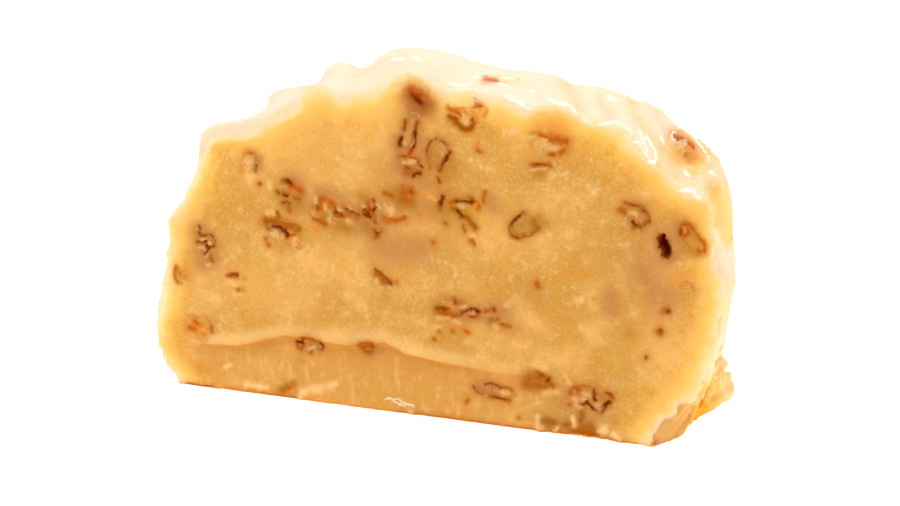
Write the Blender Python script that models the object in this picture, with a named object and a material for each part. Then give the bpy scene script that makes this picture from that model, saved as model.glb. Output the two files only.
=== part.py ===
"""A slice of butter fudge with chopped pecans, cut from a hand-worked loaf.

The slice stands on its flat base: +X along its width, +Y from the front cut to the back cut, +Z up.
Its crust is lofted between the rims of the two cuts, and the folds in it lean as they run through.
Pecan pieces lie in their own pockets, in both cut faces and in the crust.
"""

import math
import random

import bmesh
import bpy
from mathutils import Matrix, Vector, noise
from mathutils.geometry import delaunay_2d_cdt

MM = 0.001

# The slice
THICKNESS = 24.0 * MM
RIM_STEP = 2.7 * MM  # between points along a rim
BASE_STEP = 6.0 * MM  # between points along the bottom edge
FACE_STEP = 5.2 * MM  # between points inside a cut face
CRUST_STRIPS = 10  # from the front cut to the back cut

# The rims of the two cuts, from the left end of the base over the top to its right end, in mm:
# front x, front z, back x, back z. The same fold stands in one row, so a row shows how it leans.
RIMS = (
    (-54.0, 0.0, -52.0, 0.0),
    (-57.0, 4.5, -55.5, 4.0),
    (-58.9, 13.0, -57.8, 12.5),
    (-54.8, 31.0, -55.5, 30.5),
    (-52.8, 37.5, -54.3, 37.0),
    (-47.2, 48.0, -49.8, 46.5),
    (-46.7, 53.4, -48.0, 50.0),
    (-39.5, 55.6, -44.0, 52.0),
    (-33.5, 57.6, -42.8, 56.5),
    (-25.0, 63.0, -30.5, 60.6),
    (-20.1, 65.2, -26.5, 64.5),
    (-16.7, 63.7, -21.5, 64.1),
    (-7.4, 65.8, -15.0, 68.2),
    (-1.7, 69.0, -7.5, 68.8),
    (5.1, 66.0, 0.0, 68.0),
    (16.5, 65.6, 10.5, 66.0),
    (21.9, 63.9, 16.0, 66.1),
    (26.5, 65.0, 20.0, 65.2),
    (32.0, 62.6, 24.0, 63.8),
    (38.0, 61.2, 32.0, 63.0),
    (46.0, 55.0, 38.5, 61.2),
    (49.3, 51.4, 44.0, 56.8),
    (55.4, 49.2, 49.2, 54.4),
    (56.5, 44.0, 54.4, 46.5),
    (57.0, 36.5, 55.5, 35.5),
    (58.9, 30.5, 56.3, 27.0),
    (57.6, 19.5, 55.2, 16.0),
    (55.6, 13.4, 53.4, 11.4),
    (50.3, 7.2, 56.9, 4.6),
    (45.4, 0.0, 54.0, 0.0),
)

# Rolls and dents of the crust that neither rim shows, in mm:
# where (x, y, z), how far they reach along x, y and z, and how far they stand out (or go in)
SWELLS = (
    ((-45.0, -7.0, 55.0), (8.0, 6.0, 8.0), 1.6),  # roll over the left shoulder
    ((-30.0, 2.0, 63.0), (7.0, 7.0, 7.0), -1.2),  # crease behind the front fold
    ((-10.0, 3.0, 69.0), (7.0, 8.0, 7.0), 1.2),  # crown of the loaf
    ((20.0, 0.0, 66.0), (5.0, 9.0, 7.0), -0.9),
    ((33.0, 1.0, 64.0), (6.0, 9.0, 7.0), 0.9),
    ((43.5, 2.0, 59.5), (3.5, 8.0, 5.0), 1.2),
    ((49.0, 3.5, 54.0), (3.4, 4.5, 3.6), -2.6),  # scoop below the shoulder's pecan
    ((54.5, -1.0, 50.0), (4.0, 6.0, 6.0), 1.3),
    ((57.0, -6.5, 40.0), (4.0, 2.2, 12.0), -1.3),  # crease behind the front edge
    ((57.0, 1.0, 30.0), (5.0, 5.0, 10.0), 0.8),
    ((52.5, 1.5, 5.0), (7.0, 4.2, 9.0), -3.4),  # gap between the torn corner and the flake
    ((-58.0, 1.0, 20.0), (6.0, 8.0, 9.0), 0.9),
    ((-56.0, 4.0, 38.0), (6.0, 7.0, 6.0), -1.0),
)
CRUST_WAVE = 0.28 * MM  # small unevenness, in and out
CRUST_WAVE_LENGTH = 9.0 * MM

# The knife dragged the bottom of the front cut away, and left a lip above it. Its edge, x and z in mm:
LIP_EDGE = ((-49.0, 9.4), (-40.0, 10.4), (-29.5, 13.6), (-16.0, 13.2), (-8.0, 14.9), (-4.0, 12.8),
            (8.0, 11.6), (20.0, 11.2))
LIP_STEP = 3.6 * MM
LIP_DROP = 1.7 * MM  # how far the face goes in under the lip
LIP_HEIGHT = 1.1 * MM  # over which it goes in
LIP_ROLL = 0.5 * MM  # how far the lip itself stands out
LIP_ROLL_WIDTH = 5.0 * MM
FACE_WAVE = 0.22 * MM
FACE_WAVE_LENGTH = 17.0 * MM

# Bits torn out of the front cut near the base, in mm: centre x and z, reach along x and z, depth
GOUGES = (
    (-41.0, 2.6, 6.5, 2.4, 0.9),
    (-29.0, 2.4, 4.0, 2.0, 0.8),
    (28.5, 3.6, 6.0, 2.8, 2.2),
    (38.0, 2.4, 4.0, 2.2, 1.3),
)

# Pecan pieces
POCKET_GAP = 0.3 * MM
PECAN_SEED = 11

# In the front cut, in mm and degrees: centre x, centre z, length, width, turn from +X, depth,
# how far it lies below the face, form
FRONT_PECANS = (
    (-36.3, 49.0, 4.4, 3.3, 85, 4.0, 0.1, "oval"),
    (-27.6, 43.2, 6.4, 4.2, -55, 5.0, 0.6, "chunk"),
    (-29.5, 35.4, 7.4, 6.2, -20, 6.0, 1.1, "chunk"),
    (-21.2, 40.6, 5.6, 4.6, 70, 5.0, 0.3, "chunk"),
    (-15.9, 39.0, 4.9, 4.3, 20, 4.6, 0.3, "chunk"),
    (-10.4, 39.6, 6.8, 4.4, 80, 5.0, 0.3, "chunk"),
    (-46.6, 30.6, 8.2, 3.9, -66, 4.6, 0.2, "chunk"),
    (-52.1, 24.2, 3.9, 3.2, 80, 3.4, 0.1, "oval"),
    (-48.4, 12.9, 5.6, 5.0, 70, 4.4, 0.1, "oval"),
    (-0.4, 64.0, 4.0, 3.0, -30, 3.6, 0.5, "chunk"),
    (-2.9, 57.6, 8.8, 2.8, 69, 4.4, 0.2, "stick"),
    (-3.0, 51.2, 4.4, 2.4, 5, 3.6, 0.3, "chunk"),
    (3.5, 54.0, 6.4, 4.2, 68, 5.0, 0.1, "lobed"),
    (8.7, 61.0, 8.0, 5.0, -8, 5.6, 0.8, "chunk"),
    (9.5, 42.8, 6.2, 5.2, 60, 5.4, 0.5, "lobed"),
    (20.4, 41.5, 6.0, 4.4, 25, 4.6, 0.1, "oval"),
    (24.9, 57.6, 7.6, 3.6, -22, 4.6, 0.7, "stick"),
    (23.4, 52.9, 3.8, 1.8, -4, 3.0, 0.6, "stick"),
    (41.6, 45.4, 6.4, 3.8, -38, 4.6, 0.1, "oval"),
    (47.1, 39.7, 5.0, 2.3, -66, 4.4, 1.3, "stick"),
    (51.8, 41.8, 7.2, 3.0, -54, 3.6, 0.1, "lobed"),
    (51.8, 32.2, 2.9, 2.6, 20, 3.0, 0.1, "oval"),
    (-8.3, 27.8, 4.8, 2.6, -42, 4.2, 0.5, "stick"),
    (5.7, 23.7, 6.2, 3.2, -4, 4.8, 0.4, "chunk"),
    (13.9, 23.0, 8.0, 3.8, -17, 5.2, 0.3, "chunk"),
    (-25.0, 11.8, 5.4, 3.9, 0, 4.6, -0.3, "oval"),
    (-12.0, 12.4, 3.8, 2.7, 10, 3.6, -0.2, "chunk"),
    (15.0, 7.3, 9.0, 3.3, -15, 4.8, 0.1, "stick"),
    (23.9, 10.6, 5.8, 3.7, -12, 4.6, 0.6, "chunk"),
    (34.4, 8.1, 8.4, 4.7, -12, 5.4, 0.1, "lobed"),
    (-3.2, 45.2, 3.8, 2.0, 5, 3.2, 0.3, "chunk"),
)

# In the back cut, scattered like those in front
BACK_PECANS = 13
BACK_MARGIN = 6.5 * MM  # to the rim
BACK_SPACING = 10.5 * MM  # between two of them
BACK_LENGTHS = (3.6, 8.4)  # shortest and longest, in mm
BACK_SEED = 4

# In the crust: centre (x, y, z), length, width and height in mm, turn about +Z and tilt about +Y
CRUST_PECANS = (
    ((46.4, 6.4, 55.6), (5.0, 2.8, 2.6), -38, 42),
    ((11.6, 1.2, 65.7), (6.2, 2.2, 1.9), 38, -4),
    ((-56.8, 3.0, 21.5), (5.4, 3.2, 2.6), 80, 8),
    ((-51.6, 7.0, 44.0), (4.8, 2.9, 2.4), 75, -58),
)

COLOURS = {
    "fudge": ((0.86, 0.56, 0.22), 0.42),
    "pecan": ((0.50, 0.25, 0.10), 0.55),
}


def clear_scene():
    for obj in list(bpy.data.objects):
        bpy.data.objects.remove(obj, do_unlink=True)


def material(name):
    colour, roughness = COLOURS[name]
    made = bpy.data.materials.new(name)
    made.use_nodes = True
    shader = made.node_tree.nodes["Principled BSDF"]
    shader.inputs["Base Color"].default_value = (*colour, 1.0)
    shader.inputs["Roughness"].default_value = roughness
    shader.inputs["Metallic"].default_value = 0.0
    return made


def object_from(bm, name, finish):
    """A new object that takes the bmesh's faces and frees it."""
    mesh = bpy.data.meshes.new(name)
    bm.to_mesh(mesh)
    bm.free()
    mesh.materials.append(finish)
    obj = bpy.data.objects.new(name, mesh)
    bpy.context.scene.collection.objects.link(obj)
    return obj


def smooth_through(anchors, step):
    """Points about one step apart on a smooth curve through the anchors (a Catmull-Rom spline)."""
    points = []
    last = len(anchors) - 1
    for i in range(last):
        before, start, end, after = (anchors[min(max(i + k, 0), last)] for k in (-1, 0, 1, 2))
        parts = max(1, round((end - start).xy.length / step))
        for k in range(parts):
            t = k / parts
            pull_in = (end - before) * 0.5
            pull_out = (after - start) * 0.5
            points.append(
                start * (2 * t**3 - 3 * t**2 + 1)
                + pull_in * (t**3 - 2 * t**2 + t)
                + end * (3 * t**2 - 2 * t**3)
                + pull_out * (t**3 - t**2)
            )
    points.append(anchors[last])
    return points


def rim_rows():
    """The two rims as one closed ring of rows: front x, front z, back x, back z."""
    over_top = smooth_through([Vector(row) * MM for row in RIMS], RIM_STEP)
    right, left = over_top[-1], over_top[0]
    parts = round((right - left).xy.length / BASE_STEP)
    along_base = [right.lerp(left, k / parts) for k in range(1, parts)]
    return over_top + along_base, len(over_top)


def crust_offset(point, outward):
    """How far the crust stands out at a point of the plain loft."""
    offset = CRUST_WAVE * noise.noise(point / CRUST_WAVE_LENGTH)
    for centre, reach, height in SWELLS:
        away = [(point[k] / MM - centre[k]) / reach[k] for k in range(3)]
        offset += height * MM * math.exp(-sum(a * a for a in away))
    return outward * offset


def crust_rings():
    """Rings of points from the front rim to the back rim. The first of each ring run over the top."""
    rows, over_top = rim_rows()
    rings = []
    for strip in range(CRUST_STRIPS + 1):
        share = strip / CRUST_STRIPS
        y = (share - 0.5) * THICKNESS
        plain = []
        for row in rows:
            x, z = row.xy.lerp(row.zw, share)
            plain.append(Vector((x, y, max(z, 0.0))))
        ring = []
        for i, point in enumerate(plain):
            if 0 < i < over_top - 1:
                along = plain[i + 1] - plain[i - 1]
                outward = Vector((-along.z, 0.0, along.x)).normalized()
                point = point + crust_offset(point, outward)
                point.z = max(point.z, 0.0)
            ring.append(point)
        rings.append(ring)
    return rings


def lip_height_at(x):
    """The z of the lip's edge above the dragged part of the front cut."""
    for (x0, z0), (x1, z1) in zip(LIP_EDGE, LIP_EDGE[1:]):
        if x <= x1 * MM:
            share = max(0.0, (x / MM - x0) / (x1 - x0))
            return (z0 + (z1 - z0) * (3 * share**2 - 2 * share**3)) * MM
    return LIP_EDGE[-1][1] * MM


def lip_strength_at(x):
    """1 along the lip, fading to 0 past its two ends."""
    left = LIP_EDGE[0][0] * MM
    right = LIP_EDGE[-1][0] * MM
    return min(max((x - left) / (6 * MM), 0.0), max((right - x) / (18 * MM), 0.0), 1.0)


def front_y(x, z):
    """The front cut's y at a point of it: a slow wave, and the dragged hollow under the lip."""
    y = FACE_WAVE * noise.noise(Vector((x, 0.0, z)) / FACE_WAVE_LENGTH)
    strength = lip_strength_at(x)
    edge = lip_height_at(x)
    below = edge - z
    if below > 0.0:
        hollow = min(below / LIP_HEIGHT, 1.0) * min(z / (edge - LIP_HEIGHT), 1.0) ** 0.7
        y += LIP_DROP * strength * hollow - LIP_ROLL * strength * (1.0 - min(below / LIP_HEIGHT, 1.0))
    else:
        y -= LIP_ROLL * strength * math.exp(below / LIP_ROLL_WIDTH)
    for centre_x, centre_z, reach_x, reach_z, depth in GOUGES:
        away_x = (x / MM - centre_x) / reach_x
        away_z = (z / MM - centre_z) / reach_z
        y += depth * MM * math.exp(-(away_x**2) - away_z**2)
    return y - THICKNESS / 2


def back_y(x, z):
    return THICKNESS / 2 + FACE_WAVE * noise.noise(Vector((x, 1.0, z)) / FACE_WAVE_LENGTH)


def inside(point, outline):
    """Whether a 2D point lies inside a closed outline."""
    crossings = 0
    for a, b in zip(outline, outline[1:] + outline[:1]):
        if (a.y > point.y) != (b.y > point.y):
            crossings += point.x < a.x + (b.x - a.x) * (point.y - a.y) / (b.y - a.y)
    return crossings % 2 == 1


def inner_points(outline, kept_clear):
    """A staggered grid inside the outline, clear of the outline and of the points given."""
    points = []
    near = [*outline, *kept_clear]
    row_height = FACE_STEP * math.sin(math.radians(60))
    width = max(p.x for p in outline)
    top = max(p.y for p in outline)
    for row in range(1, math.ceil(top / row_height)):
        z = row * row_height
        x = -width + (row % 2) * FACE_STEP / 2
        while x < width:
            point = Vector((x, z))
            if inside(point, outline) and min((point - p).length for p in near) > 0.55 * FACE_STEP:
                points.append(point)
            x += FACE_STEP
    return points


def lip_lines():
    """Two lines along the lip, at its edge and at its foot, as lists of 2D points."""
    left = (LIP_EDGE[0][0] + 3.0) * MM
    right = (LIP_EDGE[-1][0] - 2.0) * MM
    parts = round((right - left) / LIP_STEP)
    xs = [left + (right - left) * k / parts for k in range(parts + 1)]
    return [
        [Vector((x, lip_height_at(x) - drop)) for x in xs] for drop in (0.0, LIP_HEIGHT)
    ]


def close_face(bm, ring, depth_at, lines, front):
    """Fills a cut face inside its ring of vertices, and lays it at depth_at(x, z)."""
    outline = [Vector((v.co.x, v.co.z)) for v in ring]
    on_lines = [p for line in lines for p in line]
    inner = inner_points(outline, on_lines)
    points = outline + on_lines + inner
    edges = [(i, (i + 1) % len(outline)) for i in range(len(outline))]
    start = len(outline)
    for line in lines:
        edges += [(start + k, start + k + 1) for k in range(len(line) - 1)]
        start += len(line)
    inside_only = 1
    made = delaunay_2d_cdt(points, edges, [], inside_only, 1e-7)
    flat, triangles, sources = made[0], made[2], made[3]
    vertices = []
    for point, source in zip(flat, sources):
        at_rim = [i for i in source if i < len(outline)]
        if at_rim:
            vertices.append(ring[at_rim[0]])
        else:
            vertices.append(bm.verts.new((point.x, depth_at(point.x, point.y), point.y)))
    for triangle in triangles:
        corners = [vertices[i] for i in triangle]
        bm.faces.new(corners if front else corners[::-1])


def fudge_slice(finish):
    bm = bmesh.new()
    rings = [[bm.verts.new(p) for p in ring] for ring in crust_rings()]
    for ring, beyond in zip(rings, rings[1:]):
        for i in range(len(ring)):
            after = (i + 1) % len(ring)
            bm.faces.new((ring[i], beyond[i], beyond[after], ring[after]))
    close_face(bm, rings[0], front_y, lip_lines(), True)
    close_face(bm, rings[-1], back_y, [], False)
    bmesh.ops.recalc_face_normals(bm, faces=bm.faces)
    return object_from(bm, "fudge", finish)


def piece_form(form, seed):
    """A pecan piece of unit length, width and depth, as a bmesh: length on X, width on Z."""
    lump, lump_size = {"oval": (0.10, 1.1), "lobed": (0.16, 1.0), "stick": (0.16, 0.9), "chunk": (0.34, 0.75)}[form]
    bm = bmesh.new()
    bmesh.ops.create_icosphere(bm, subdivisions=2, radius=0.5)
    shift = Vector((seed * 3.1, seed * 1.7, seed * 2.3))
    for v in bm.verts:
        outward = v.co.normalized()
        swell = 1.0 + lump * noise.noise(outward / lump_size + shift)
        if form == "lobed":
            swell -= 0.22 * math.exp(-((outward.x / 0.24) ** 2)) * (outward.z > 0)
        if form == "stick":
            blunt = abs(outward.x) ** 4
            swell *= 1.0 + 0.12 * (1.0 - blunt)
        v.co = outward * (0.5 * swell)
    return bm


def shaped(bm, size, turn, centre):
    """Scales a unit piece to size, turns it and puts it at its centre."""
    place = Matrix.Translation(centre) @ turn @ Matrix.Diagonal((*size, 1.0))
    bmesh.ops.transform(bm, matrix=place, verts=bm.verts)
    bmesh.ops.recalc_face_normals(bm, faces=bm.faces)
    return bm


def pocket_for(bm, pockets):
    """Adds the piece's pocket, wider all round by the gap, to the mesh that cuts the fudge."""
    wider = bm.copy()
    wider.normal_update()
    for v in wider.verts:
        v.co += v.normal * POCKET_GAP
    mesh = bpy.data.meshes.new("one_pocket")
    wider.to_mesh(mesh)
    wider.free()
    pockets.from_mesh(mesh)
    bpy.data.meshes.remove(mesh)


def cut_flush(bm, y, front):
    """Cuts a piece off at its cut face and closes it with one flat face."""
    whole = bm.verts[:] + bm.edges[:] + bm.faces[:]
    outwards = Vector((0.0, -1.0 if front else 1.0, 0.0))
    bmesh.ops.bisect_plane(
        bm, geom=whole, dist=1e-7, plane_co=(0.0, y, 0.0), plane_no=outwards, clear_outer=True
    )
    open_edges = [e for e in bm.edges if len(e.link_faces) == 1]
    bmesh.ops.contextual_create(bm, geom=open_edges)
    bmesh.ops.recalc_face_normals(bm, faces=bm.faces)


def face_pecan(name, row, front, seed, pockets, finish):
    """One pecan piece in a cut face, cut through by the knife."""
    x, z, length, width, turn, depth, sunk, form = row
    x, z, length, width, depth, sunk = (value * MM for value in (x, z, length, width, depth, sunk))
    face = front_y(x, z) if front else back_y(x, z)
    inwards = 1.0 if front else -1.0
    centre = Vector((x, face + inwards * (sunk + 0.22 * depth), z))
    turned = Matrix.Rotation(-math.radians(turn), 4, "Y")
    bm = shaped(piece_form(form, seed), (length, depth, width), turned, centre)
    pocket_for(bm, pockets)
    cut_flush(bm, face + inwards * sunk, front)
    return object_from(bm, name, finish)


def crust_pecan(name, row, seed, pockets, finish):
    """One pecan piece that lies in the crust, its upper side showing."""
    centre, size, turn, tilt = row
    turned = Matrix.Rotation(math.radians(tilt), 4, "Y") @ Matrix.Rotation(math.radians(turn), 4, "Z")
    length, width, height = (value * MM for value in size)
    bm = shaped(piece_form("chunk", seed), (length, width, height), turned, Vector(centre) * MM)
    pocket_for(bm, pockets)
    return object_from(bm, name, finish)


def back_rows():
    """Rows for the back cut, like those of FRONT_PECANS, drawn so that none lies near another."""
    draw = random.Random(BACK_SEED)
    rows, _ = rim_rows()
    outline = [Vector(row.zw) for row in rows]
    chosen = []
    while len(chosen) < BACK_PECANS:
        point = Vector((draw.uniform(-55.0, 55.0) * MM, draw.uniform(6.0, 64.0) * MM))
        clear_of_rim = min((point - p).length for p in outline) > BACK_MARGIN
        clear_of_others = all((point - p[0]).length > BACK_SPACING for p in chosen)
        if inside(point, outline) and clear_of_rim and clear_of_others:
            length = draw.uniform(*BACK_LENGTHS)
            form = draw.choice(("oval", "chunk", "lobed", "stick"))
            slender = 0.42 if form == "stick" else draw.uniform(0.6, 0.85)
            row = (length, length * slender, draw.uniform(-90, 90), draw.uniform(3.6, 5.2),
                   draw.choice((0.1, 0.1, 0.4, 0.9)), form)
            chosen.append((point, row))
    return [(point.x / MM, point.y / MM, *row) for point, row in chosen]


def main():
    clear_scene()
    fudge_finish = material("fudge")
    pecan_finish = material("pecan")
    fudge = fudge_slice(fudge_finish)
    pockets = bmesh.new()
    seed = PECAN_SEED
    for count, row in enumerate(FRONT_PECANS, start=1):
        face_pecan(f"pecan_front_{count:02d}", row, True, seed, pockets, pecan_finish)
        seed += 1
    for count, row in enumerate(back_rows(), start=1):
        face_pecan(f"pecan_back_{count:02d}", row, False, seed, pockets, pecan_finish)
        seed += 1
    for count, row in enumerate(CRUST_PECANS, start=1):
        crust_pecan(f"pecan_crust_{count:02d}", row, seed, pockets, pecan_finish)
        seed += 1
    cutter = object_from(pockets, "pockets", pecan_finish)
    cutter.hide_render = True
    cutter.display_type = "WIRE"
    cut = fudge.modifiers.new("pockets", "BOOLEAN")
    cut.operation = "DIFFERENCE"
    cut.solver = "EXACT"
    cut.object = cutter


main()
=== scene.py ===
# %% [markdown]
# # A slice of nut fudge
# The slice was cut from a big loaf that was folded and rolled by hand while it cooled.
# It has a pale, glossy crust in soft folds, two cut faces in a warm tan, and chopped pecans.
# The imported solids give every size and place. This script gives them their looks.

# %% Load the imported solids
import math
import random

import bmesh
import bpy
import numpy as np
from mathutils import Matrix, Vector, kdtree, noise
from mathutils.bvhtree import BVHTree


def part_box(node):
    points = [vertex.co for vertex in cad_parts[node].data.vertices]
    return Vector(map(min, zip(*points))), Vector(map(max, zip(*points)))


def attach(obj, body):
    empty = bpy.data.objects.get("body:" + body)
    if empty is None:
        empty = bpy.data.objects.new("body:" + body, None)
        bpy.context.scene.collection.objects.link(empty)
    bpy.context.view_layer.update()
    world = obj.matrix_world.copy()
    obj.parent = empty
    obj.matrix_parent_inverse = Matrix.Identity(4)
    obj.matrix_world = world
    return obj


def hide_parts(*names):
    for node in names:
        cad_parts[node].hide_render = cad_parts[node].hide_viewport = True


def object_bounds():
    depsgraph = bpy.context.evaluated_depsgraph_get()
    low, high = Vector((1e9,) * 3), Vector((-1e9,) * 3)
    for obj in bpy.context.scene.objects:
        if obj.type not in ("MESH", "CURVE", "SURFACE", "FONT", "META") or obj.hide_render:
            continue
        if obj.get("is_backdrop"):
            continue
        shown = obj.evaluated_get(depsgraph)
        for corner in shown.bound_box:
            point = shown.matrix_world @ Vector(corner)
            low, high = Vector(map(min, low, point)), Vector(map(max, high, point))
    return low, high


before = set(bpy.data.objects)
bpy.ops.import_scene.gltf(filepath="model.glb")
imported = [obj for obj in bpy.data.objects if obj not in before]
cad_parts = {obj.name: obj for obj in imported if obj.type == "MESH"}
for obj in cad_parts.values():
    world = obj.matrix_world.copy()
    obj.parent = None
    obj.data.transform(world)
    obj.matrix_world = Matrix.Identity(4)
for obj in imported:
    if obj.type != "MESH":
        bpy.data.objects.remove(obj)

MM = 0.001
solid_low, solid_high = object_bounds()
solid_size = (solid_high - solid_low) / MM
pecan_names = sorted(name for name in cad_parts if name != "fudge")
print(f"{len(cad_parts)} solids, {solid_size.x:.1f} x {solid_size.y:.1f} x {solid_size.z:.1f} mm")

# %% [markdown]
# ## Camera, floor and light
# The photograph looks a little from the right and from above, through a long lens, on a white table.
# Blender offers area lamps, sun lamps and a lit world. Large area lamps give the soft, even light
# of a studio, and a white world and a white floor fill the shadows, so these are used together.

# %% Camera
scene = bpy.context.scene
scene.view_settings.view_transform = "Standard"


def aim(thing, place, target):
    """Puts a camera or a lamp at a place, in mm, and turns it to its target."""
    thing.location = Vector(place) * MM
    thing.rotation_euler = (Vector(target) - Vector(place)).to_track_quat("-Z", "Y").to_euler()
    scene.collection.objects.link(thing)


lens = bpy.data.cameras.new("studio_camera")
lens.lens = 70.0
lens.sensor_width = 36.0
lens.clip_start = 0.01
lens.clip_end = 20.0
camera = bpy.data.objects.new("studio_camera", lens)
aim(camera, (111.0, -316.3, 133.0), (1.5, 0.0, 30.65))
scene.camera = camera
eye = np.array(camera.location) / MM
right, up, back = np.array(camera.rotation_euler.to_matrix()).T
print(f"camera {camera.location.length / MM:.0f} mm away, {lens.lens:.0f} mm lens")


# %% Lamps and world
SLICE_MIDDLE = (0.0, 0.0, 30.0)  # mm
WHITE = (1.0, 1.0, 1.0, 1.0)


def soft_lamp(name, place, width, strength):
    """A square area lamp, in mm. Its strength is the brightness of white paper that faces it."""
    lamp = bpy.data.lights.new(name, "AREA")
    lamp.size = width * MM
    distance = (Vector(SLICE_MIDDLE) - Vector(place)).length * MM
    lamp.energy = strength * (math.pi * distance) ** 2
    aim(bpy.data.objects.new(name, lamp), place, SLICE_MIDDLE)


soft_lamp("top_back_softbox", (-120.0, 380.0, 780.0), 520.0, 0.40)
soft_lamp("front_left_softbox", (-420.0, -560.0, 760.0), 420.0, 0.44)
soft_lamp("right_softbox", (640.0, 40.0, 460.0), 420.0, 0.42)
world = bpy.data.worlds.new("white_studio")
world.use_nodes = True
sky = world.node_tree.nodes["Background"].inputs
sky["Color"].default_value = WHITE
sky["Strength"].default_value = 0.46
scene.world = world
print("3 softboxes and a white world")

# %% [markdown]
# ## Finishes as sums
# A finish is a tree of nodes. Dragging wires suits a small tree, but a food's colour is a long sum
# of noises and masks. So one small class stands for a wire, and adds a Math node whenever it is used
# in a sum, and a second one holds the tree and adds every other node.


# %% A wire and a finish
class Wire:
    """A number that runs through a finish. Sums with it add Math nodes."""

    def __init__(self, finish, socket):
        self.finish = finish
        self.socket = socket

    def joined(self, operation, first, second):
        node = self.finish.add("ShaderNodeMath", {"operation": operation}, {0: first, 1: second})
        return Wire(self.finish, node.outputs[0])

    def __add__(self, other):
        return self.joined("ADD", self, other)

    def __sub__(self, other):
        return self.joined("SUBTRACT", self, other)

    def __rsub__(self, other):
        return self.joined("SUBTRACT", other, self)

    def __mul__(self, other):
        return self.joined("MULTIPLY", self, other)

    __radd__ = __add__
    __rmul__ = __mul__

    def between(self, low, high):
        """0 below low, 1 above high, and a smooth slope from one to the other."""
        node = self.finish.add(
            "ShaderNodeMapRange", {"interpolation_type": "SMOOTHSTEP"},
            {"Value": self, "From Min": low, "From Max": high},
        )
        return Wire(self.finish, node.outputs[0])


class Finish:
    """A material in the making, with a Principled shader."""

    def __init__(self, name, constants):
        self.material = bpy.data.materials.new(name)
        self.material.use_nodes = True
        self.tree = self.material.node_tree
        self.shader = self.tree.nodes["Principled BSDF"]
        self.place = self.add("ShaderNodeTexCoord").outputs["Object"]
        for socket, value in constants.items():
            self.shader.inputs[socket].default_value = value

    def feed(self, socket, value):
        """Links a wire or a socket to a socket, or sets its value."""
        source = value.socket if isinstance(value, Wire) else value
        if isinstance(source, bpy.types.NodeSocket):
            self.tree.links.new(source, socket)
        elif socket.type == "RGBA":
            socket.default_value = (*source, 1.0)
        else:
            socket.default_value = source

    def add(self, kind, settings=None, sockets=None):
        """Any node: its settings first, then the values or wires of its sockets."""
        node = self.tree.nodes.new(kind)
        for setting, value in (settings or {}).items():
            if setting != "stops":
                setattr(node, setting, value)
                continue
            ends = node.color_ramp.elements
            ends[0].position, ends[1].position = value[0][0], value[-1][0]
            ends[0].color, ends[1].color = (*value[0][1], 1.0), (*value[-1][1], 1.0)
            for position, colour in value[1:-1]:
                ends.new(position).color = (*colour, 1.0)
        for socket, value in (sockets or {}).items():
            self.feed(node.inputs[socket], value)
        return node

    def laid_out(self, size, stretch, shift):
        scale = tuple(1.0 / (size * MM * share) for share in stretch)
        sockets = {"Vector": self.place, "Location": (shift, 0.6 * shift, -shift), "Scale": scale}
        return self.add("ShaderNodeMapping", None, sockets).outputs[0]

    def grain(self, size, stretch=(1.0, 1.0, 1.0), detail=2.0, shift=0.0, rough=0.5):
        """Noise from 0 to 1 whose lumps are about that many mm across."""
        sockets = {
            "Vector": self.laid_out(size, stretch, shift), "Scale": 1.0, "Detail": detail,
            "Roughness": rough,
        }
        return Wire(self, self.add("ShaderNodeTexNoise", None, sockets).outputs[0])

    def specks(self, spacing, share, shift):
        """Round specks, 1 inside. Only that share of the places in a loose grid has one."""
        sockets = {"Vector": self.laid_out(spacing, (1.0, 1.0, 1.0), shift), "Scale": 1.0}
        cells = self.add("ShaderNodeTexVoronoi", None, sockets)
        distance, draw = (Wire(self, cells.outputs[name]) for name in ("Distance", "Color"))
        return distance.between(0.24, 0.12) * draw.between(1.0 - share, 1.02 - share)

    def read(self, name):
        """A number that is stored on the mesh."""
        return Wire(self, self.add("ShaderNodeAttribute", {"attribute_name": name}).outputs["Fac"])

    def ramp(self, position, stops):
        return self.add("ShaderNodeValToRGB", {"stops": stops}, {0: position}).outputs[0]

    def mixed(self, share, below, above):
        sockets = {0: share, 6: below, 7: above}
        return self.add("ShaderNodeMix", {"data_type": "RGBA"}, sockets).outputs[2]

    def layered(self, colour, layers):
        """A colour with others laid over it in turn, each with its share and its screen colour."""
        for share, tint in layers:
            colour = self.mixed(share, colour, screen(*tint))
        return colour

    def bump(self, height, strength):
        """Fine relief. The height is in mm."""
        sockets = {"Height": height * MM, "Strength": strength, "Distance": 1.0}
        return self.add("ShaderNodeBump", None, sockets).outputs[0]


def screen(red, green, blue):
    """A colour as an image editor shows it, from 0 to 255, as Blender's linear colour."""
    shares = (red / 255.0, green / 255.0, blue / 255.0)
    return tuple(((share + 0.055) / 1.055) ** 2.4 for share in shares)


# %% [markdown]
# ## The floor
# A plain white disc. It takes a soft shadow and throws warm light back up, and it glows a little,
# as a lit table of white acrylic does, so that it stays white to its edge.

# %% Floor
floor_finish = Finish("white_table", {
    "Base Color": (0.86, 0.86, 0.86, 1.0), "Roughness": 0.6, "Specular IOR Level": 0.2,
    "Emission Color": WHITE, "Emission Strength": 0.62,
})
FLOOR_RADIUS = 3.0  # metres
FLOOR_DROP = 0.05  # mm below the base, so that the two faces don't flicker
disc = bmesh.new()
bmesh.ops.create_circle(disc, cap_ends=True, segments=96, radius=FLOOR_RADIUS)
bmesh.ops.translate(disc, verts=disc.verts, vec=(0.0, 0.0, -FLOOR_DROP * MM))
disc_mesh = bpy.data.meshes.new("studio_floor")
disc.to_mesh(disc_mesh)
disc.free()
disc_mesh.materials.append(floor_finish.material)
studio_floor = bpy.data.objects.new("studio_floor", disc_mesh)
scene.collection.objects.link(studio_floor)
studio_floor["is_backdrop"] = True
print(f"floor {2.0 * FLOOR_RADIUS:.0f} m across")

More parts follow.
